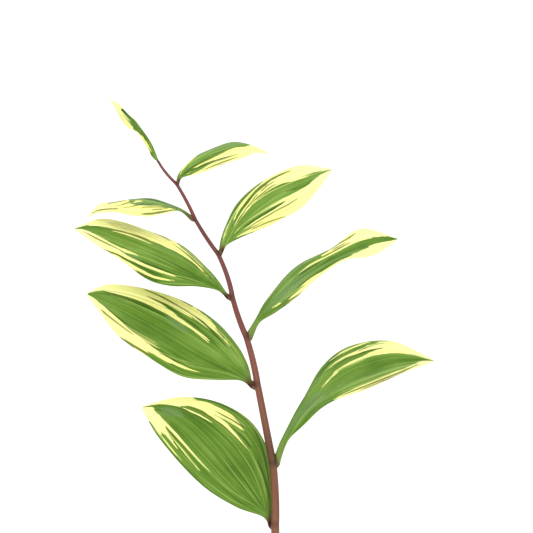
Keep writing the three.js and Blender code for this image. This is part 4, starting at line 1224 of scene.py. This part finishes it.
def blade_faces(rows, columns):
    """Faces of a front and a back net of points, and of the rim between them."""
    behind = rows * columns
    front = net_faces(rows - 1, columns - 1)
    back = [tuple(corner + behind for corner in face[::-1]) for face in front]
    rim = []
    for row in range(rows - 1):
        first = row * columns
        rim.append((first + columns, first))
        rim.append((first + columns - 1, first + 2 * columns - 1))
    last = (rows - 1) * columns
    for column in range(columns - 1):
        rim.append((column + 1, column))
        rim.append((last + column, last + column + 1))
    return front + back + [(a, b, b + behind, a + behind) for a, b in rim]


def make_leaf(name, leaf, look):
    """A leaf as one closed blade, whose foot runs on into the stem's joint."""
    t, s, points, normals = blade_net(leaf, ROWS, COLUMNS, look.pleat_height / MM)
    joint = joint_point(leaf["joint"])
    radius = STEM_JOINTS[leaf["joint"]][3]
    foot_thickness = min(look.foot_thickness / MM, FOOT_LIMIT * radius)
    foot = points[0]
    heel_shape = joint + (foot - foot[COLUMNS // 2]) * HEEL_WIDTH
    shares = np.linspace(0, 1, PETIOLE_ROWS + 1)[:-1]
    reach = (shares**PETIOLE_SLOPE)[:, None, None]
    points = np.concatenate([heel_shape * (1 - reach) + foot * reach, points])
    normals = np.concatenate([np.repeat(normals[:1], PETIOLE_ROWS, 0), normals])
    heel = np.concatenate([np.repeat(1 - shares[:, None], COLUMNS + 1, 1), 0 * t])
    t = np.concatenate([np.zeros((PETIOLE_ROWS, COLUMNS + 1)), t])
    s = np.concatenate([np.repeat(s[:1], PETIOLE_ROWS, 0), s])
    neck = smooth_step(t, 0, NECK_REACH * FOOT_SHARE)
    thickness = foot_thickness * (1 - neck) + look.thickness / MM * neck
    thickness = thickness * (1 - heel) + HEEL_THICKNESS * radius * heel
    rounding = np.sqrt(np.clip(1 - s**2, 0, 1))
    profile = np.clip(FLANK_FULLNESS * rounding, 0, 1) * neck + rounding * (1 - neck)
    half = (thickness / 2 * (EDGE_THICKNESS + (1 - EDGE_THICKNESS) * profile))[..., None]
    faces = blade_faces(*t.shape)
    if leaf["middle"][-1][0] < 0:
        faces = [face[::-1] for face in faces]
    net = np.concatenate([points + normals * half, points - normals * half]).reshape(-1, 3)
    uvs = np.stack([t, (s + 1) / 2], -1).reshape(-1, 2)
    stored = {
        "underside": np.repeat([0.0, 1.0], t.size),
        "heel": np.tile(heel.ravel(), 2),
    }
    skin = leaf_skin(name, leaf, look)
    add_piece(name + "_blade", net, faces, np.tile(uvs, (2, 1)), skin, name, stored)


class PLANT_OT_leaves(bpy.types.Operator):
    """Build the nine leaves"""

    bl_idname = "plant.leaves"
    bl_label = "Leaves"

    def execute(self, context):
        for name, leaf in LEAVES.items():
            make_leaf(name, leaf, context.scene.leaf_look)
        return {"FINISHED"}


def stem_line():
    """The stem's centre line, with its radius, its distance to the nearest joint and that joint."""
    stations = STEM_FOOT + STEM_JOINTS
    first_joint = len(STEM_FOOT)
    places = [spread(*(np.float64(value) for value in station[:3])) for station in stations]
    centres = []
    radii = []
    for index in range(len(stations) - 1):
        start, end = places[index], places[index + 1]
        count = max(int(np.linalg.norm(end - start) / STEM_STEP), 2)
        share = np.arange(count) / count
        stretch = start + (end - start) * share[:, None]
        stretch[:, 0] += stations[index][4] * 4 * share * (1 - share)
        centres.append(stretch)
        radii.append(stations[index][3] * (1 - share) + stations[index + 1][3] * share)
    centres = np.concatenate([*centres, places[-1][None]])
    radii = np.concatenate([*radii, [stations[-1][3]]])
    reach = int(3 * STEM_SMOOTHING / STEM_STEP)
    kernel = np.exp(-0.5 * (np.arange(-reach, reach + 1) * STEM_STEP / STEM_SMOOTHING) ** 2)
    kernel /= kernel.sum()
    padded = np.pad(centres, ((reach, reach), (0, 0)), "reflect", reflect_type="odd")
    centres = np.stack([np.convolve(padded[:, axis], kernel, "valid") for axis in range(3)], -1)
    joints = np.array(places[first_joint:])
    gaps = np.linalg.norm(centres[:, None] - joints[None], axis=-1)
    return centres, radii, gaps.min(1), gaps.argmin(1)


def stem_rings(centres, directions, radii, gaps, nearest):
    """Rings of points up the stem, and how dark each is for its nearness to a joint."""
    across = units(np.cross([0.0, 1.0, 0.0], directions))
    outward = units(np.cross(directions, across))
    angles = round_angles(STEM_SIDES)
    sideways = across[:, None] * np.cos(angles)[:, None]
    round_about = sideways + outward[:, None] * np.sin(angles)[:, None]
    to_leaf = np.zeros((len(STEM_JOINTS), 3))
    for leaf in LEAVES.values():
        foot = blade_point(leaf, LEAF_START, 0.0)
        to_leaf[leaf["joint"]] = units(foot - joint_point(leaf["joint"]))
    leafward = np.clip(np.sum(round_about * to_leaf[nearest][:, None], -1), BEHIND_LEAF, 1)
    near = np.exp(-((gaps / JOINT_REACH) ** 2))[:, None]
    grooves = sum(depth * np.cos(count * angles + turn)[None] for count, turn, depth in GROOVES)
    swell = 1 + near * JOINT_SWELLING * leafward + grooves
    rings = centres[:, None] + round_about * (radii[:, None] * swell)[..., None]
    sided = JOINT_DARKNESS + (1 - JOINT_DARKNESS) * np.clip(leafward, 0, 1)
    return rings, np.exp(-((gaps / DARK_REACH) ** 2))[:, None] * sided


def tube(rings):
    """Faces of a closed tube through rings of points, whose ends meet in a point each."""
    rows, sides = rings.shape[:2]
    faces = net_faces(rows - 1, sides, closed=True)
    low = rows * sides
    high = low + 1
    top = low - sides
    for side in range(sides):
        after = (side + 1) % sides
        faces.append((low, after, side))
        faces.append((high, top + side, top + after))
    ends = np.stack([rings[0].mean(0), rings[-1].mean(0)])
    return np.concatenate([rings.reshape(-1, 3), ends]), faces


def tube_places(along, sides):
    """The places along and around of a tube's points, with those of its two ends last."""
    around = round_angles(sides) / (2 * np.pi)
    places = np.stack([np.repeat(along, sides), np.tile(around, len(along))], -1)
    return np.concatenate([places, [[along[0], 0.5], [along[-1], 0.5]]])


def leaf_stub(leaf, upward):
    """Rings of the short stalk that runs from the stem round a leaf's foot, and how far each is along it."""
    radius = STEM_JOINTS[leaf["joint"]][3]
    forward = np.array([0, STUB_FORWARD * radius, 0])
    start = joint_point(leaf["joint"]) - upward * (STUB_DROP * radius) - forward
    feet = [[blade_point(leaf, t, s) for s in (-1.0, 1.0)] for t in STUB_GRIPS]
    foot = (feet[0][0] + feet[0][1]) / 2
    foot_half = (feet[0][1] - feet[0][0]) / 2
    bend = start + (foot - start) * STUB_BEND + upward * (STUB_RISE * radius)
    angles = round_angles(STUB_SIDES)
    ridges = 1 + RIDGE_DEPTH * np.cos(STUB_RIDGES * angles)[:, None]
    rings = []
    places = []
    for share in np.linspace(0, 1, STUB_ROWS):
        centre = start * (1 - share) ** 2 + 2 * bend * share * (1 - share) + foot * share**2
        grown = smooth_step(share, 0, 1)
        half = upward * (STUB_START * radius) * (1 - grown) + foot_half * STUB_CLASP * grown
        deep = STUB_START * radius * (1 - grown) + STUB_DEPTH * radius * grown
        rings.append((centre, half, deep))
        places.append(STUB_SHARE * share)
    for step, (low, high) in enumerate(feet[1:], 1):
        narrowed = 1 - step / len(feet)
        deep = STUB_DEPTH * radius * (0.5 + 0.5 * narrowed)
        rings.append(((low + high) / 2, (high - low) / 2 * GRIP_WIDTH, deep))
        places.append(STUB_SHARE + (1 - STUB_SHARE) * step / (len(feet) - 1))
    ahead = units(blade_point(leaf, BLADE_START, 0.0) - foot)
    result = []
    for centre, half, deep in rings:
        outward = units(np.cross(ahead, half)) * deep
        spokes = half * np.cos(angles)[:, None] + outward * np.sin(angles)[:, None]
        result.append(centre + spokes * ridges)
    return np.array(result), np.array(places)


def stem_skin(look):
    """Reddish skin with lengthwise stripes, dark at the joints."""
    nodes = Nodes("stem_skin")
    along, around = nodes.uv()
    place = nodes.object_place()
    angle = around * (2 * math.pi)
    round_x = angle.wave()
    round_y = (angle + math.pi / 2).wave()
    stripes = nodes.noise(nodes.joined(round_x * 2.4, round_y * 2.4, along * 16), 1.0, 3.0, 0.6)
    fine = nodes.noise(nodes.joined(round_x * 6, round_y * 6, along * 50), 1.0, 3.0, 0.6)
    mottle = nodes.noise(place, 420.0, 3.0, 0.6)
    greener = nodes.curve(along, GREENNESS)
    colour = nodes.mix(nodes.curve(along, REDDENING), look.lower, look.upper)
    colour = nodes.mix((stripes * 3.4 - 1.75).clamped() * greener * 0.8, colour, look.olive)
    colour = nodes.mix((1.35 - stripes * 3).clamped() * 0.7, colour, look.joint)
    dark = (nodes.stored("joint") * 1.15 + (fine - 0.5) * 0.6).clamped()
    colour = nodes.mix(dark * 0.9, colour, look.joint)
    sprout = (nodes.stored("sprout") * 1.5 + (fine - 0.5) * 0.9 - 0.45).clamped()
    colour = nodes.mix(sprout * 0.8, colour, look.sprout)
    colour = nodes.shade(colour, (0.78 + mottle * 0.22 + fine * 0.22) * nodes.stored("paleness"))
    return nodes.finish({
        "Base Color": colour,
        "Roughness": 0.42 + mottle * 0.16,
        "Normal": nodes.bump(stripes + fine * 0.5, look.groove_depth, 0.5),
        "Specular IOR Level": 0.35,
    })


class PLANT_OT_stem(bpy.types.Operator):
    """Build the stem with a stub for each leaf"""

    bl_idname = "plant.stem"
    bl_label = "Stem"

    def execute(self, context):
        centres, radii, gaps, nearest = stem_line()
        directions = units(np.gradient(centres, axis=0))
        rings, darkness = stem_rings(centres, directions, radii, gaps, nearest)
        points, faces = tube(rings)
        along = np.linspace(0, 1, len(centres))
        uvs = [tube_places(along, STEM_SIDES)]
        joint = [darkness.ravel(), [0, 0.5]]
        sprout = [np.zeros(len(points))]
        for name, leaf in LEAVES.items():
            closest = np.where(nearest == leaf["joint"], gaps, np.inf).argmin()
            stub_rings, share = leaf_stub(leaf, directions[closest])
            stub_points, stub_faces = tube(stub_rings)
            faces += [tuple(len(points) + corner for corner in face) for face in stub_faces]
            points = np.concatenate([points, stub_points])
            uvs.append(tube_places(along[closest] + STUB_ALONG * share, STUB_SIDES))
            joint += [np.repeat(1 - STUB_FADING * share, STUB_SIDES), [1, 1 - STUB_FADING]]
            green = GREEN_STUBS.get(name, 0.0)
            sprout += [np.repeat(green + (1 - green) * share, STUB_SIDES), [green, 1]]
        paleness = np.ones(len(points))
        for height, reach, depth in FLUSHES:
            paleness -= depth * np.exp(-(((points[:, 2] - height) / reach) ** 2))
        stored = {
            "joint": np.concatenate(joint),
            "sprout": np.concatenate(sprout),
            "paleness": paleness,
        }
        skin = stem_skin(context.scene.stem_look)
        add_piece("leafy_stem", points, faces, np.concatenate(uvs), skin, "stem", stored)
        return {"FINISHED"}


def inner_radius(z):
    """The pot's inner radius at a height above its underside."""
    low = POT_FOOT_RADIUS - POT_WALL
    shoulder = BODY_TOP_RADIUS - POT_WALL
    if z < BAND_FOOT:
        return low + (shoulder - low) * (z - POT_FLOOR) / (BAND_FOOT - POT_FLOOR)
    return shoulder + (POT_RIM_RADIUS - POT_WALL - shoulder) * (z - BAND_FOOT) / RIM_BAND_HEIGHT


def rounded(profile, reach, passes):
    """A closed profile with its corners rounded off, less where its sides are short."""
    profile = np.array(profile, float)
    points = []
    for index, corner in enumerate(profile):
        for neighbour in (profile[index - 1], profile[(index + 1) % len(profile)]):
            span = np.linalg.norm(neighbour - corner)
            points.append(corner + (neighbour - corner) * min(reach / span, 0.4))
    points = np.array(points)
    for _ in range(passes):
        after = np.roll(points, -1, 0)
        points = np.stack([points * 0.75 + after * 0.25, points * 0.25 + after * 0.75], 1).reshape(-1, 2)
    return points


def divided(points, longest):
    """A closed line with points added where its steps are too long."""
    result = []
    for start, end in zip(points, np.roll(points, -1, 0)):
        count = max(int(np.ceil(np.linalg.norm(end - start) / longest)), 1)
        result.extend(start + (end - start) * step / count for step in range(count))
    return np.array(result)


def value_noise(places, seed):
    """Smooth noise of -1 to 1 over places in three directions.

    Large odd numbers scramble the seed with the whole numbers of a place.
    """
    whole = np.floor(places).astype(np.int64)
    share = places - whole
    share = share * share * (3 - 2 * share)
    total = 0
    for corner in np.ndindex(2, 2, 2):
        x, y, z = (whole[..., axis] + corner[axis] for axis in range(3))
        mixed = (x * 73856093) ^ (y * 19349663) ^ (z * 83492791) ^ (seed * 2654435761)
        mixed = (mixed ^ (mixed >> 13)) * 1274126177 & 0xFFFFFFFF
        weight = 1
        for axis in range(3):
            weight = weight * (share[..., axis] if corner[axis] else 1 - share[..., axis])
        total = total + weight * ((mixed ^ (mixed >> 16)) & 0xFFFF) / 0xFFFF
    return 2 * total - 1


def clay_skin(look):
    """Fired clay with turning lines, pale dried patches and a salt bloom."""
    nodes = Nodes("clay_skin")
    place = nodes.object_place()
    x, y, z = nodes.split(place)
    cloud = nodes.noise(place, 14.0, 4.0, 0.6)
    speckle = nodes.noise(place, 600.0, 3.0, 0.7)
    grain = nodes.noise(place, 1600.0, 2.0, 0.6)
    flat = nodes.joined(x * 8, y * 8, z * 900)
    lines = nodes.noise(flat, 1.0, 3.0, 0.6)
    colour = nodes.mix((cloud * 2.2 - 0.7).clamped(), look.clay, look.pale_clay)
    salty = nodes.curve((z / (POT_HEIGHT * MM)).clamped(), SALT_UP)
    salt = (nodes.noise(place, 55.0, 5.0, 0.7) * 3.0 - 1.55 + salty * 0.5).clamped()
    colour = nodes.mix(salt * 0.5, colour, look.salt)
    colour = nodes.shade(colour, 0.82 + speckle * 0.22 + lines * 0.14)
    return nodes.finish({
        "Base Color": colour,
        "Roughness": 0.82 + speckle * 0.12,
        "Normal": nodes.bump(lines * 0.7 + grain * 0.35 + speckle * 0.3, 0.0004, 0.6),
        "Specular IOR Level": 0.3,
    })


class PLANT_OT_pot(bpy.types.Operator):
    """Build the clay pot"""

    bl_idname = "plant.pot"
    bl_label = "Pot"

    def execute(self, context):
        profile = [
            (DRAIN_RADIUS, 0),
            (POT_FOOT_RADIUS - FOOT_EDGE, 0),
            (POT_FOOT_RADIUS, FOOT_EDGE),
            (BODY_TOP_RADIUS, BAND_FOOT - 1),
            (POT_RIM_RADIUS - BAND_UNDERCUT, BAND_FOOT),
            (POT_RIM_RADIUS - BAND_EDGE[0], BAND_FOOT + BAND_EDGE[1]),
            (POT_RIM_RADIUS, POT_HEIGHT - 2.2),
            (POT_RIM_RADIUS - 1, POT_HEIGHT - 0.4),
            (POT_RIM_RADIUS - RIM_EDGE, POT_HEIGHT),
            (POT_RIM_RADIUS - POT_WALL + 1, POT_HEIGHT - 0.2),
            (inner_radius(POT_HEIGHT - RIM_EDGE), POT_HEIGHT - RIM_EDGE),
            (inner_radius(BAND_FOOT), BAND_FOOT),
            (inner_radius(POT_FLOOR + FLOOR_FILLET), POT_FLOOR + FLOOR_FILLET),
            (inner_radius(POT_FLOOR) - FLOOR_FILLET, POT_FLOOR),
            (DRAIN_RADIUS + 1, POT_FLOOR),
            (DRAIN_RADIUS, POT_FLOOR - 1),
        ]
        line = divided(rounded(profile, CORNER_REACH, CORNER_PASSES), LONGEST_STEP)
        angles = round_angles(POT_SIDES)
        radius = np.repeat(line[:, :1], POT_SIDES, 1)
        height = np.repeat(line[:, 1:], POT_SIDES, 1)
        right, away = np.cos(angles), np.sin(angles)
        flat = [direction * WANDER_ROUND + 0 * radius for direction in (right, away)]
        wander = value_noise(np.stack([*flat, height / WANDER_UP], -1), WANDER_SEED)
        outside = (radius > DRAIN_RADIUS + 3) & (height > 1) & (height < POT_HEIGHT - 0.5)
        radius = radius + outside * (CLAY_WANDER * wander - CLAY_WANDER)
        points = np.stack([radius * right, radius * away, height], -1).reshape(-1, 3)
        rows = len(line)
        faces = [
            tuple(corner % len(points) for corner in face)
            for face in net_faces(rows, POT_SIDES, closed=True)
        ]
        around = np.tile(np.arange(POT_SIDES) / POT_SIDES, rows)
        uvs = np.stack([around, np.repeat(np.arange(rows) / rows, POT_SIDES)], -1)
        skin = clay_skin(context.scene.pot_look)
        add_piece("clay_pot", points, faces, uvs, skin, "pot")
        return {"FINISHED"}


def crumble(x, y):
    """The soil's larger unevenness, as the solid has it."""
    broad = np.sin(0.11 * x + 1.3) * np.cos(0.13 * y - 0.4)
    fine = np.sin(0.43 * x + 0.21 * y) * np.sin(0.37 * y - 0.19 * x + 2.1)
    grain = np.sin(0.97 * x - 0.6 * y + 0.7) * np.cos(0.88 * y + 0.5 * x)
    return SOIL_RELIEF * (0.45 * broad + 0.35 * fine + 0.3 * grain)


def soil_height(x, y, edge_radius):
    """The soil's surface with its small crumbs."""
    share = np.hypot(x, y) / edge_radius
    slump = -SOIL_SLUMP * smooth_step(share, SLUMP_START, 1)
    flat = np.stack([x, y, 0 * x], -1)
    crumbs = sum(depth * value_noise(flat / size, seed) for size, depth, seed in SMALL_CRUMBS)
    return SOIL_SURFACE + slump + crumble(x, y) + CRUMB_RELIEF * crumbs


def soil_skin(look):
    """Dark crumbly soil, with paler dry crumbs, bark and grit."""
    nodes = Nodes("soil_skin")
    place = nodes.object_place()
    clods = nodes.noise(place, 260.0, 4.0, 0.65)
    dust = nodes.noise(place, 1400.0, 3.0, 0.7)
    patches = nodes.noise(place, 60.0, 3.0, 0.6)
    colour = nodes.mix((clods * 2.4 - 0.95 + (patches - 0.5) * 0.8).clamped(), look.soil, look.dry_soil)
    kind = nodes.stored("crumb")
    colour = nodes.mix((kind * 4 - 1).clamped(), colour, look.bark)
    colour = nodes.mix((kind * 4 - 2.9).clamped(), colour, look.grit)
    colour = nodes.shade(colour, 0.7 + dust * 0.6)
    return nodes.finish({
        "Base Color": colour,
        "Roughness": 0.88 + dust * 0.1,
        "Normal": nodes.bump(clods + dust * 0.5, 0.0007, 0.8),
        "Specular IOR Level": 0.25,
    })


def crumb_shape():
    """The corners and faces of a small round lump: 20 triangles, each split in four."""
    golden = (1 + 5**0.5) / 2
    corners = []
    for a in (-1, 1):
        for b in (-golden, golden):
            corners += [(a, b, 0), (0, a, b), (b, 0, a)]
    corners = units(np.array(corners, float))
    faces = []
    near = np.linalg.norm(corners[:, None] - corners[None], axis=-1)
    edge = np.min(near[near > 0.1]) * 1.1
    for i in range(12):
        for j in range(i + 1, 12):
            for k in range(j + 1, 12):
                if near[i, j] < edge and near[j, k] < edge and near[i, k] < edge:
                    out = np.dot(np.cross(corners[j] - corners[i], corners[k] - corners[i]), corners[i]) > 0
                    faces.append((i, j, k) if out else (i, k, j))
    points = list(corners)
    halves = {}
    split = []
    for face in faces:
        middles = []
        for a, b in ((0, 1), (1, 2), (2, 0)):
            pair = tuple(sorted((face[a], face[b])))
            if pair not in halves:
                halves[pair] = len(points)
                points.append(units(points[pair[0]] + points[pair[1]]))
            middles.append(halves[pair])
        a, b, c = middles
        split += [(face[0], a, c), (face[1], b, a), (face[2], c, b), (a, b, c)]
    return np.array(points), split


def loose_crumb(shape, number, draws):
    """A crumb's kind, the points of its lump and how far its middle is above the soil."""
    if draws.random() < GRIT_SHARE:
        kind = GRIT
    else:
        kind = BARK if draws.random() < BARK_SHARE else PLAIN
    size = (0.5 + 0.9 * draws.random()) * (BARK_SIZE if kind == BARK else 1.0)
    length = 1 + 0.9 * draws.random() * (kind == BARK) * BARK_STRETCH
    width = 0.7 + 0.4 * draws.random()
    height = 0.55 + 0.3 * draws.random()
    spin = 2 * np.pi * draws.random()
    uneven = 1 + CRUMB_ROUGHNESS * value_noise(shape * 1.4 + number, LUMP_SEED)[:, None]
    lump = shape * uneven * np.array([length, width, height]) * size
    x = lump[:, 0] * np.cos(spin) - lump[:, 1] * np.sin(spin)
    y = lump[:, 0] * np.sin(spin) + lump[:, 1] * np.cos(spin)
    return kind, np.stack([x, y, lump[:, 2]], -1), CRUMB_LIFT * size


class PLANT_OT_soil(bpy.types.Operator):
    """Build the soil with its crumbs"""

    bl_idname = "plant.soil"
    bl_label = "Soil"

    def execute(self, context):
        sides = POT_SIDES
        wall_gap = CLEARANCE + SOIL_INSET
        edge_radius = inner_radius(SOIL_SURFACE - SOIL_SLUMP - SOIL_RELIEF) - wall_gap
        right, away = np.cos(round_angles(sides)), np.sin(round_angles(sides))
        rounds = []
        for step in range(1, SOIL_STEPS + 1):
            radius = edge_radius * step / SOIL_STEPS
            x, y = radius * right, radius * away
            rounds.append(np.stack([x, y, soil_height(x, y, edge_radius)], -1))
        for radius, height in (
            (inner_radius(BAND_FOOT) - wall_gap, BAND_FOOT),
            (inner_radius(POT_FLOOR + FLOOR_FILLET) - wall_gap, POT_FLOOR + FLOOR_FILLET),
            (inner_radius(POT_FLOOR) - FLOOR_FILLET - CLEARANCE, POT_FLOOR + CLEARANCE),
        ):
            rounds.append(np.stack([radius * right, radius * away, 0 * right + height], -1))
        faces = [face[::-1] for face in net_faces(len(rounds) - 1, sides, closed=True)]
        points = list(np.concatenate(rounds))
        crown = len(points)
        middle = soil_height(np.zeros(1), np.zeros(1), edge_radius)[0]
        points += [np.array([0, 0, middle]), np.array([0, 0, POT_FLOOR + CLEARANCE])]
        last = (len(rounds) - 1) * sides
        for side in range(sides):
            after = (side + 1) % sides
            faces.append((crown, side, after))
            faces.append((crown + 1, last + after, last + side))
        kinds = [PLAIN] * len(points)
        draws = np.random.default_rng(CRUMB_SEED)
        shape, shape_faces = crumb_shape()
        for number in range(CRUMBS):
            reach = (edge_radius - CRUMB_GAP) * np.sqrt(draws.random())
            turn = 2 * np.pi * draws.random()
            x, y = reach * np.cos(turn), reach * np.sin(turn)
            kind, lump, lift = loose_crumb(shape, number, draws)
            ground = soil_height(np.array([x]), np.array([y]), edge_radius)[0]
            start = len(points)
            points += list(lump + np.array([x, y, ground + lift]))
            kinds += [kind] * len(shape)
            faces += [tuple(start + corner for corner in face) for face in shape_faces]
        points = np.array(points)
        uvs = np.stack([points[:, 0], points[:, 1]], -1) / (4 * POT_RIM_RADIUS) + 0.5
        skin = soil_skin(context.scene.pot_look)
        add_piece("potting_soil", points, faces, uvs, skin, "soil", {"crumb": kinds})
        return {"FINISHED"}


def add_light(name, place, target, size, power):
    """A soft square light that shines at a point."""
    lamp = bpy.data.lights.new(name, "AREA")
    lamp.size = size
    lamp.energy = power
    light = bpy.data.objects.new(name, lamp)
    light.location = place
    aim = Vector(target) - Vector(place)
    light.rotation_euler = aim.to_track_quat("-Z", "Y").to_euler()
    bpy.context.scene.collection.objects.link(light)


class PLANT_OT_stage(bpy.types.Operator):
    """Build the floor, the lights and the camera"""

    bl_idname = "plant.stage"
    bl_label = "Stage"

    def execute(self, context):
        look = context.scene.stage_look
        mesh = bpy.data.meshes.new("floor")
        net = bmesh.new()
        bmesh.ops.create_circle(net, cap_ends=True, segments=FLOOR_SIDES, radius=look.floor_radius)
        net.to_mesh(mesh)
        net.free()
        floor = bpy.data.objects.new("floor", mesh)
        floor.location = (0, 0, -FLOOR_DROP)
        context.scene.collection.objects.link(floor)
        nodes = Nodes("floor_paint")
        grain = nodes.noise(nodes.object_place(), 30.0, 3.0)
        colour = nodes.shade(look.floor, 0.98 + grain * 0.03)
        paint = {"Base Color": colour, "Roughness": 0.8, "Specular IOR Level": 0.2}
        mesh.materials.append(nodes.finish(paint))
        world = bpy.data.worlds.new("surround")
        context.scene.world = world
        world.use_nodes = True
        backdrop = world.node_tree.nodes["Background"]
        backdrop.inputs["Color"].default_value = (1, 1, 1, 1)
        backdrop.inputs["Strength"].default_value = look.surround
        context.scene.view_settings.view_transform = "Standard"
        add_light("key_light", LIGHT_PLACE, LIGHT_TARGET, LIGHT_SIZE, look.key)
        film = bpy.data.cameras.new("camera")
        film.lens = LENS
        film.sensor_width = FILM_WIDTH
        film.clip_end = FAR_LIMIT
        camera = bpy.data.objects.new("camera", film)
        camera.location = (VIEW_X * MM, -VIEW_DISTANCE * MM, VIEW_Z * MM)
        camera.rotation_euler = (math.pi / 2, 0, 0)
        context.scene.collection.objects.link(camera)
        context.scene.camera = camera
        return {"FINISHED"}


BUILDERS = ("stage", "pot", "soil", "stem", "leaves")
LOOKS = {"leaf_look": LeafLook, "stem_look": StemLook, "pot_look": PotLook, "stage_look": StageLook}


class PLANT_PT_panel(bpy.types.Panel):
    """Lists the steps that build the plant, and its sizes and colours"""

    bl_idname = "PLANT_PT_panel"
    bl_label = "Potted plant"
    bl_space_type = "VIEW_3D"
    bl_region_type = "UI"
    bl_category = "Plant"

    def draw(self, context):
        for builder in BUILDERS:
            self.layout.operator("plant." + builder)
        for name, look in LOOKS.items():
            box = self.layout.box()
            for key in look.__annotations__:
                box.prop(getattr(context.scene, name), key)


CLASSES = (
    *LOOKS.values(),
    PLANT_OT_stage,
    PLANT_OT_pot,
    PLANT_OT_soil,
    PLANT_OT_stem,
    PLANT_OT_leaves,
    PLANT_PT_panel,
)


def register():
    for each in CLASSES:
        bpy.utils.register_class(each)
    for name, look in LOOKS.items():
        setattr(bpy.types.Scene, name, bpy.props.PointerProperty(type=look))


def unregister():
    for name in LOOKS:
        delattr(bpy.types.Scene, name)
    for each in reversed(CLASSES):
        bpy.utils.unregister_class(each)


def main():
    """Builds everything in order."""
    register()
    for builder in BUILDERS:
        getattr(bpy.ops.plant, builder)()


if __name__ == "__main__":
    main()
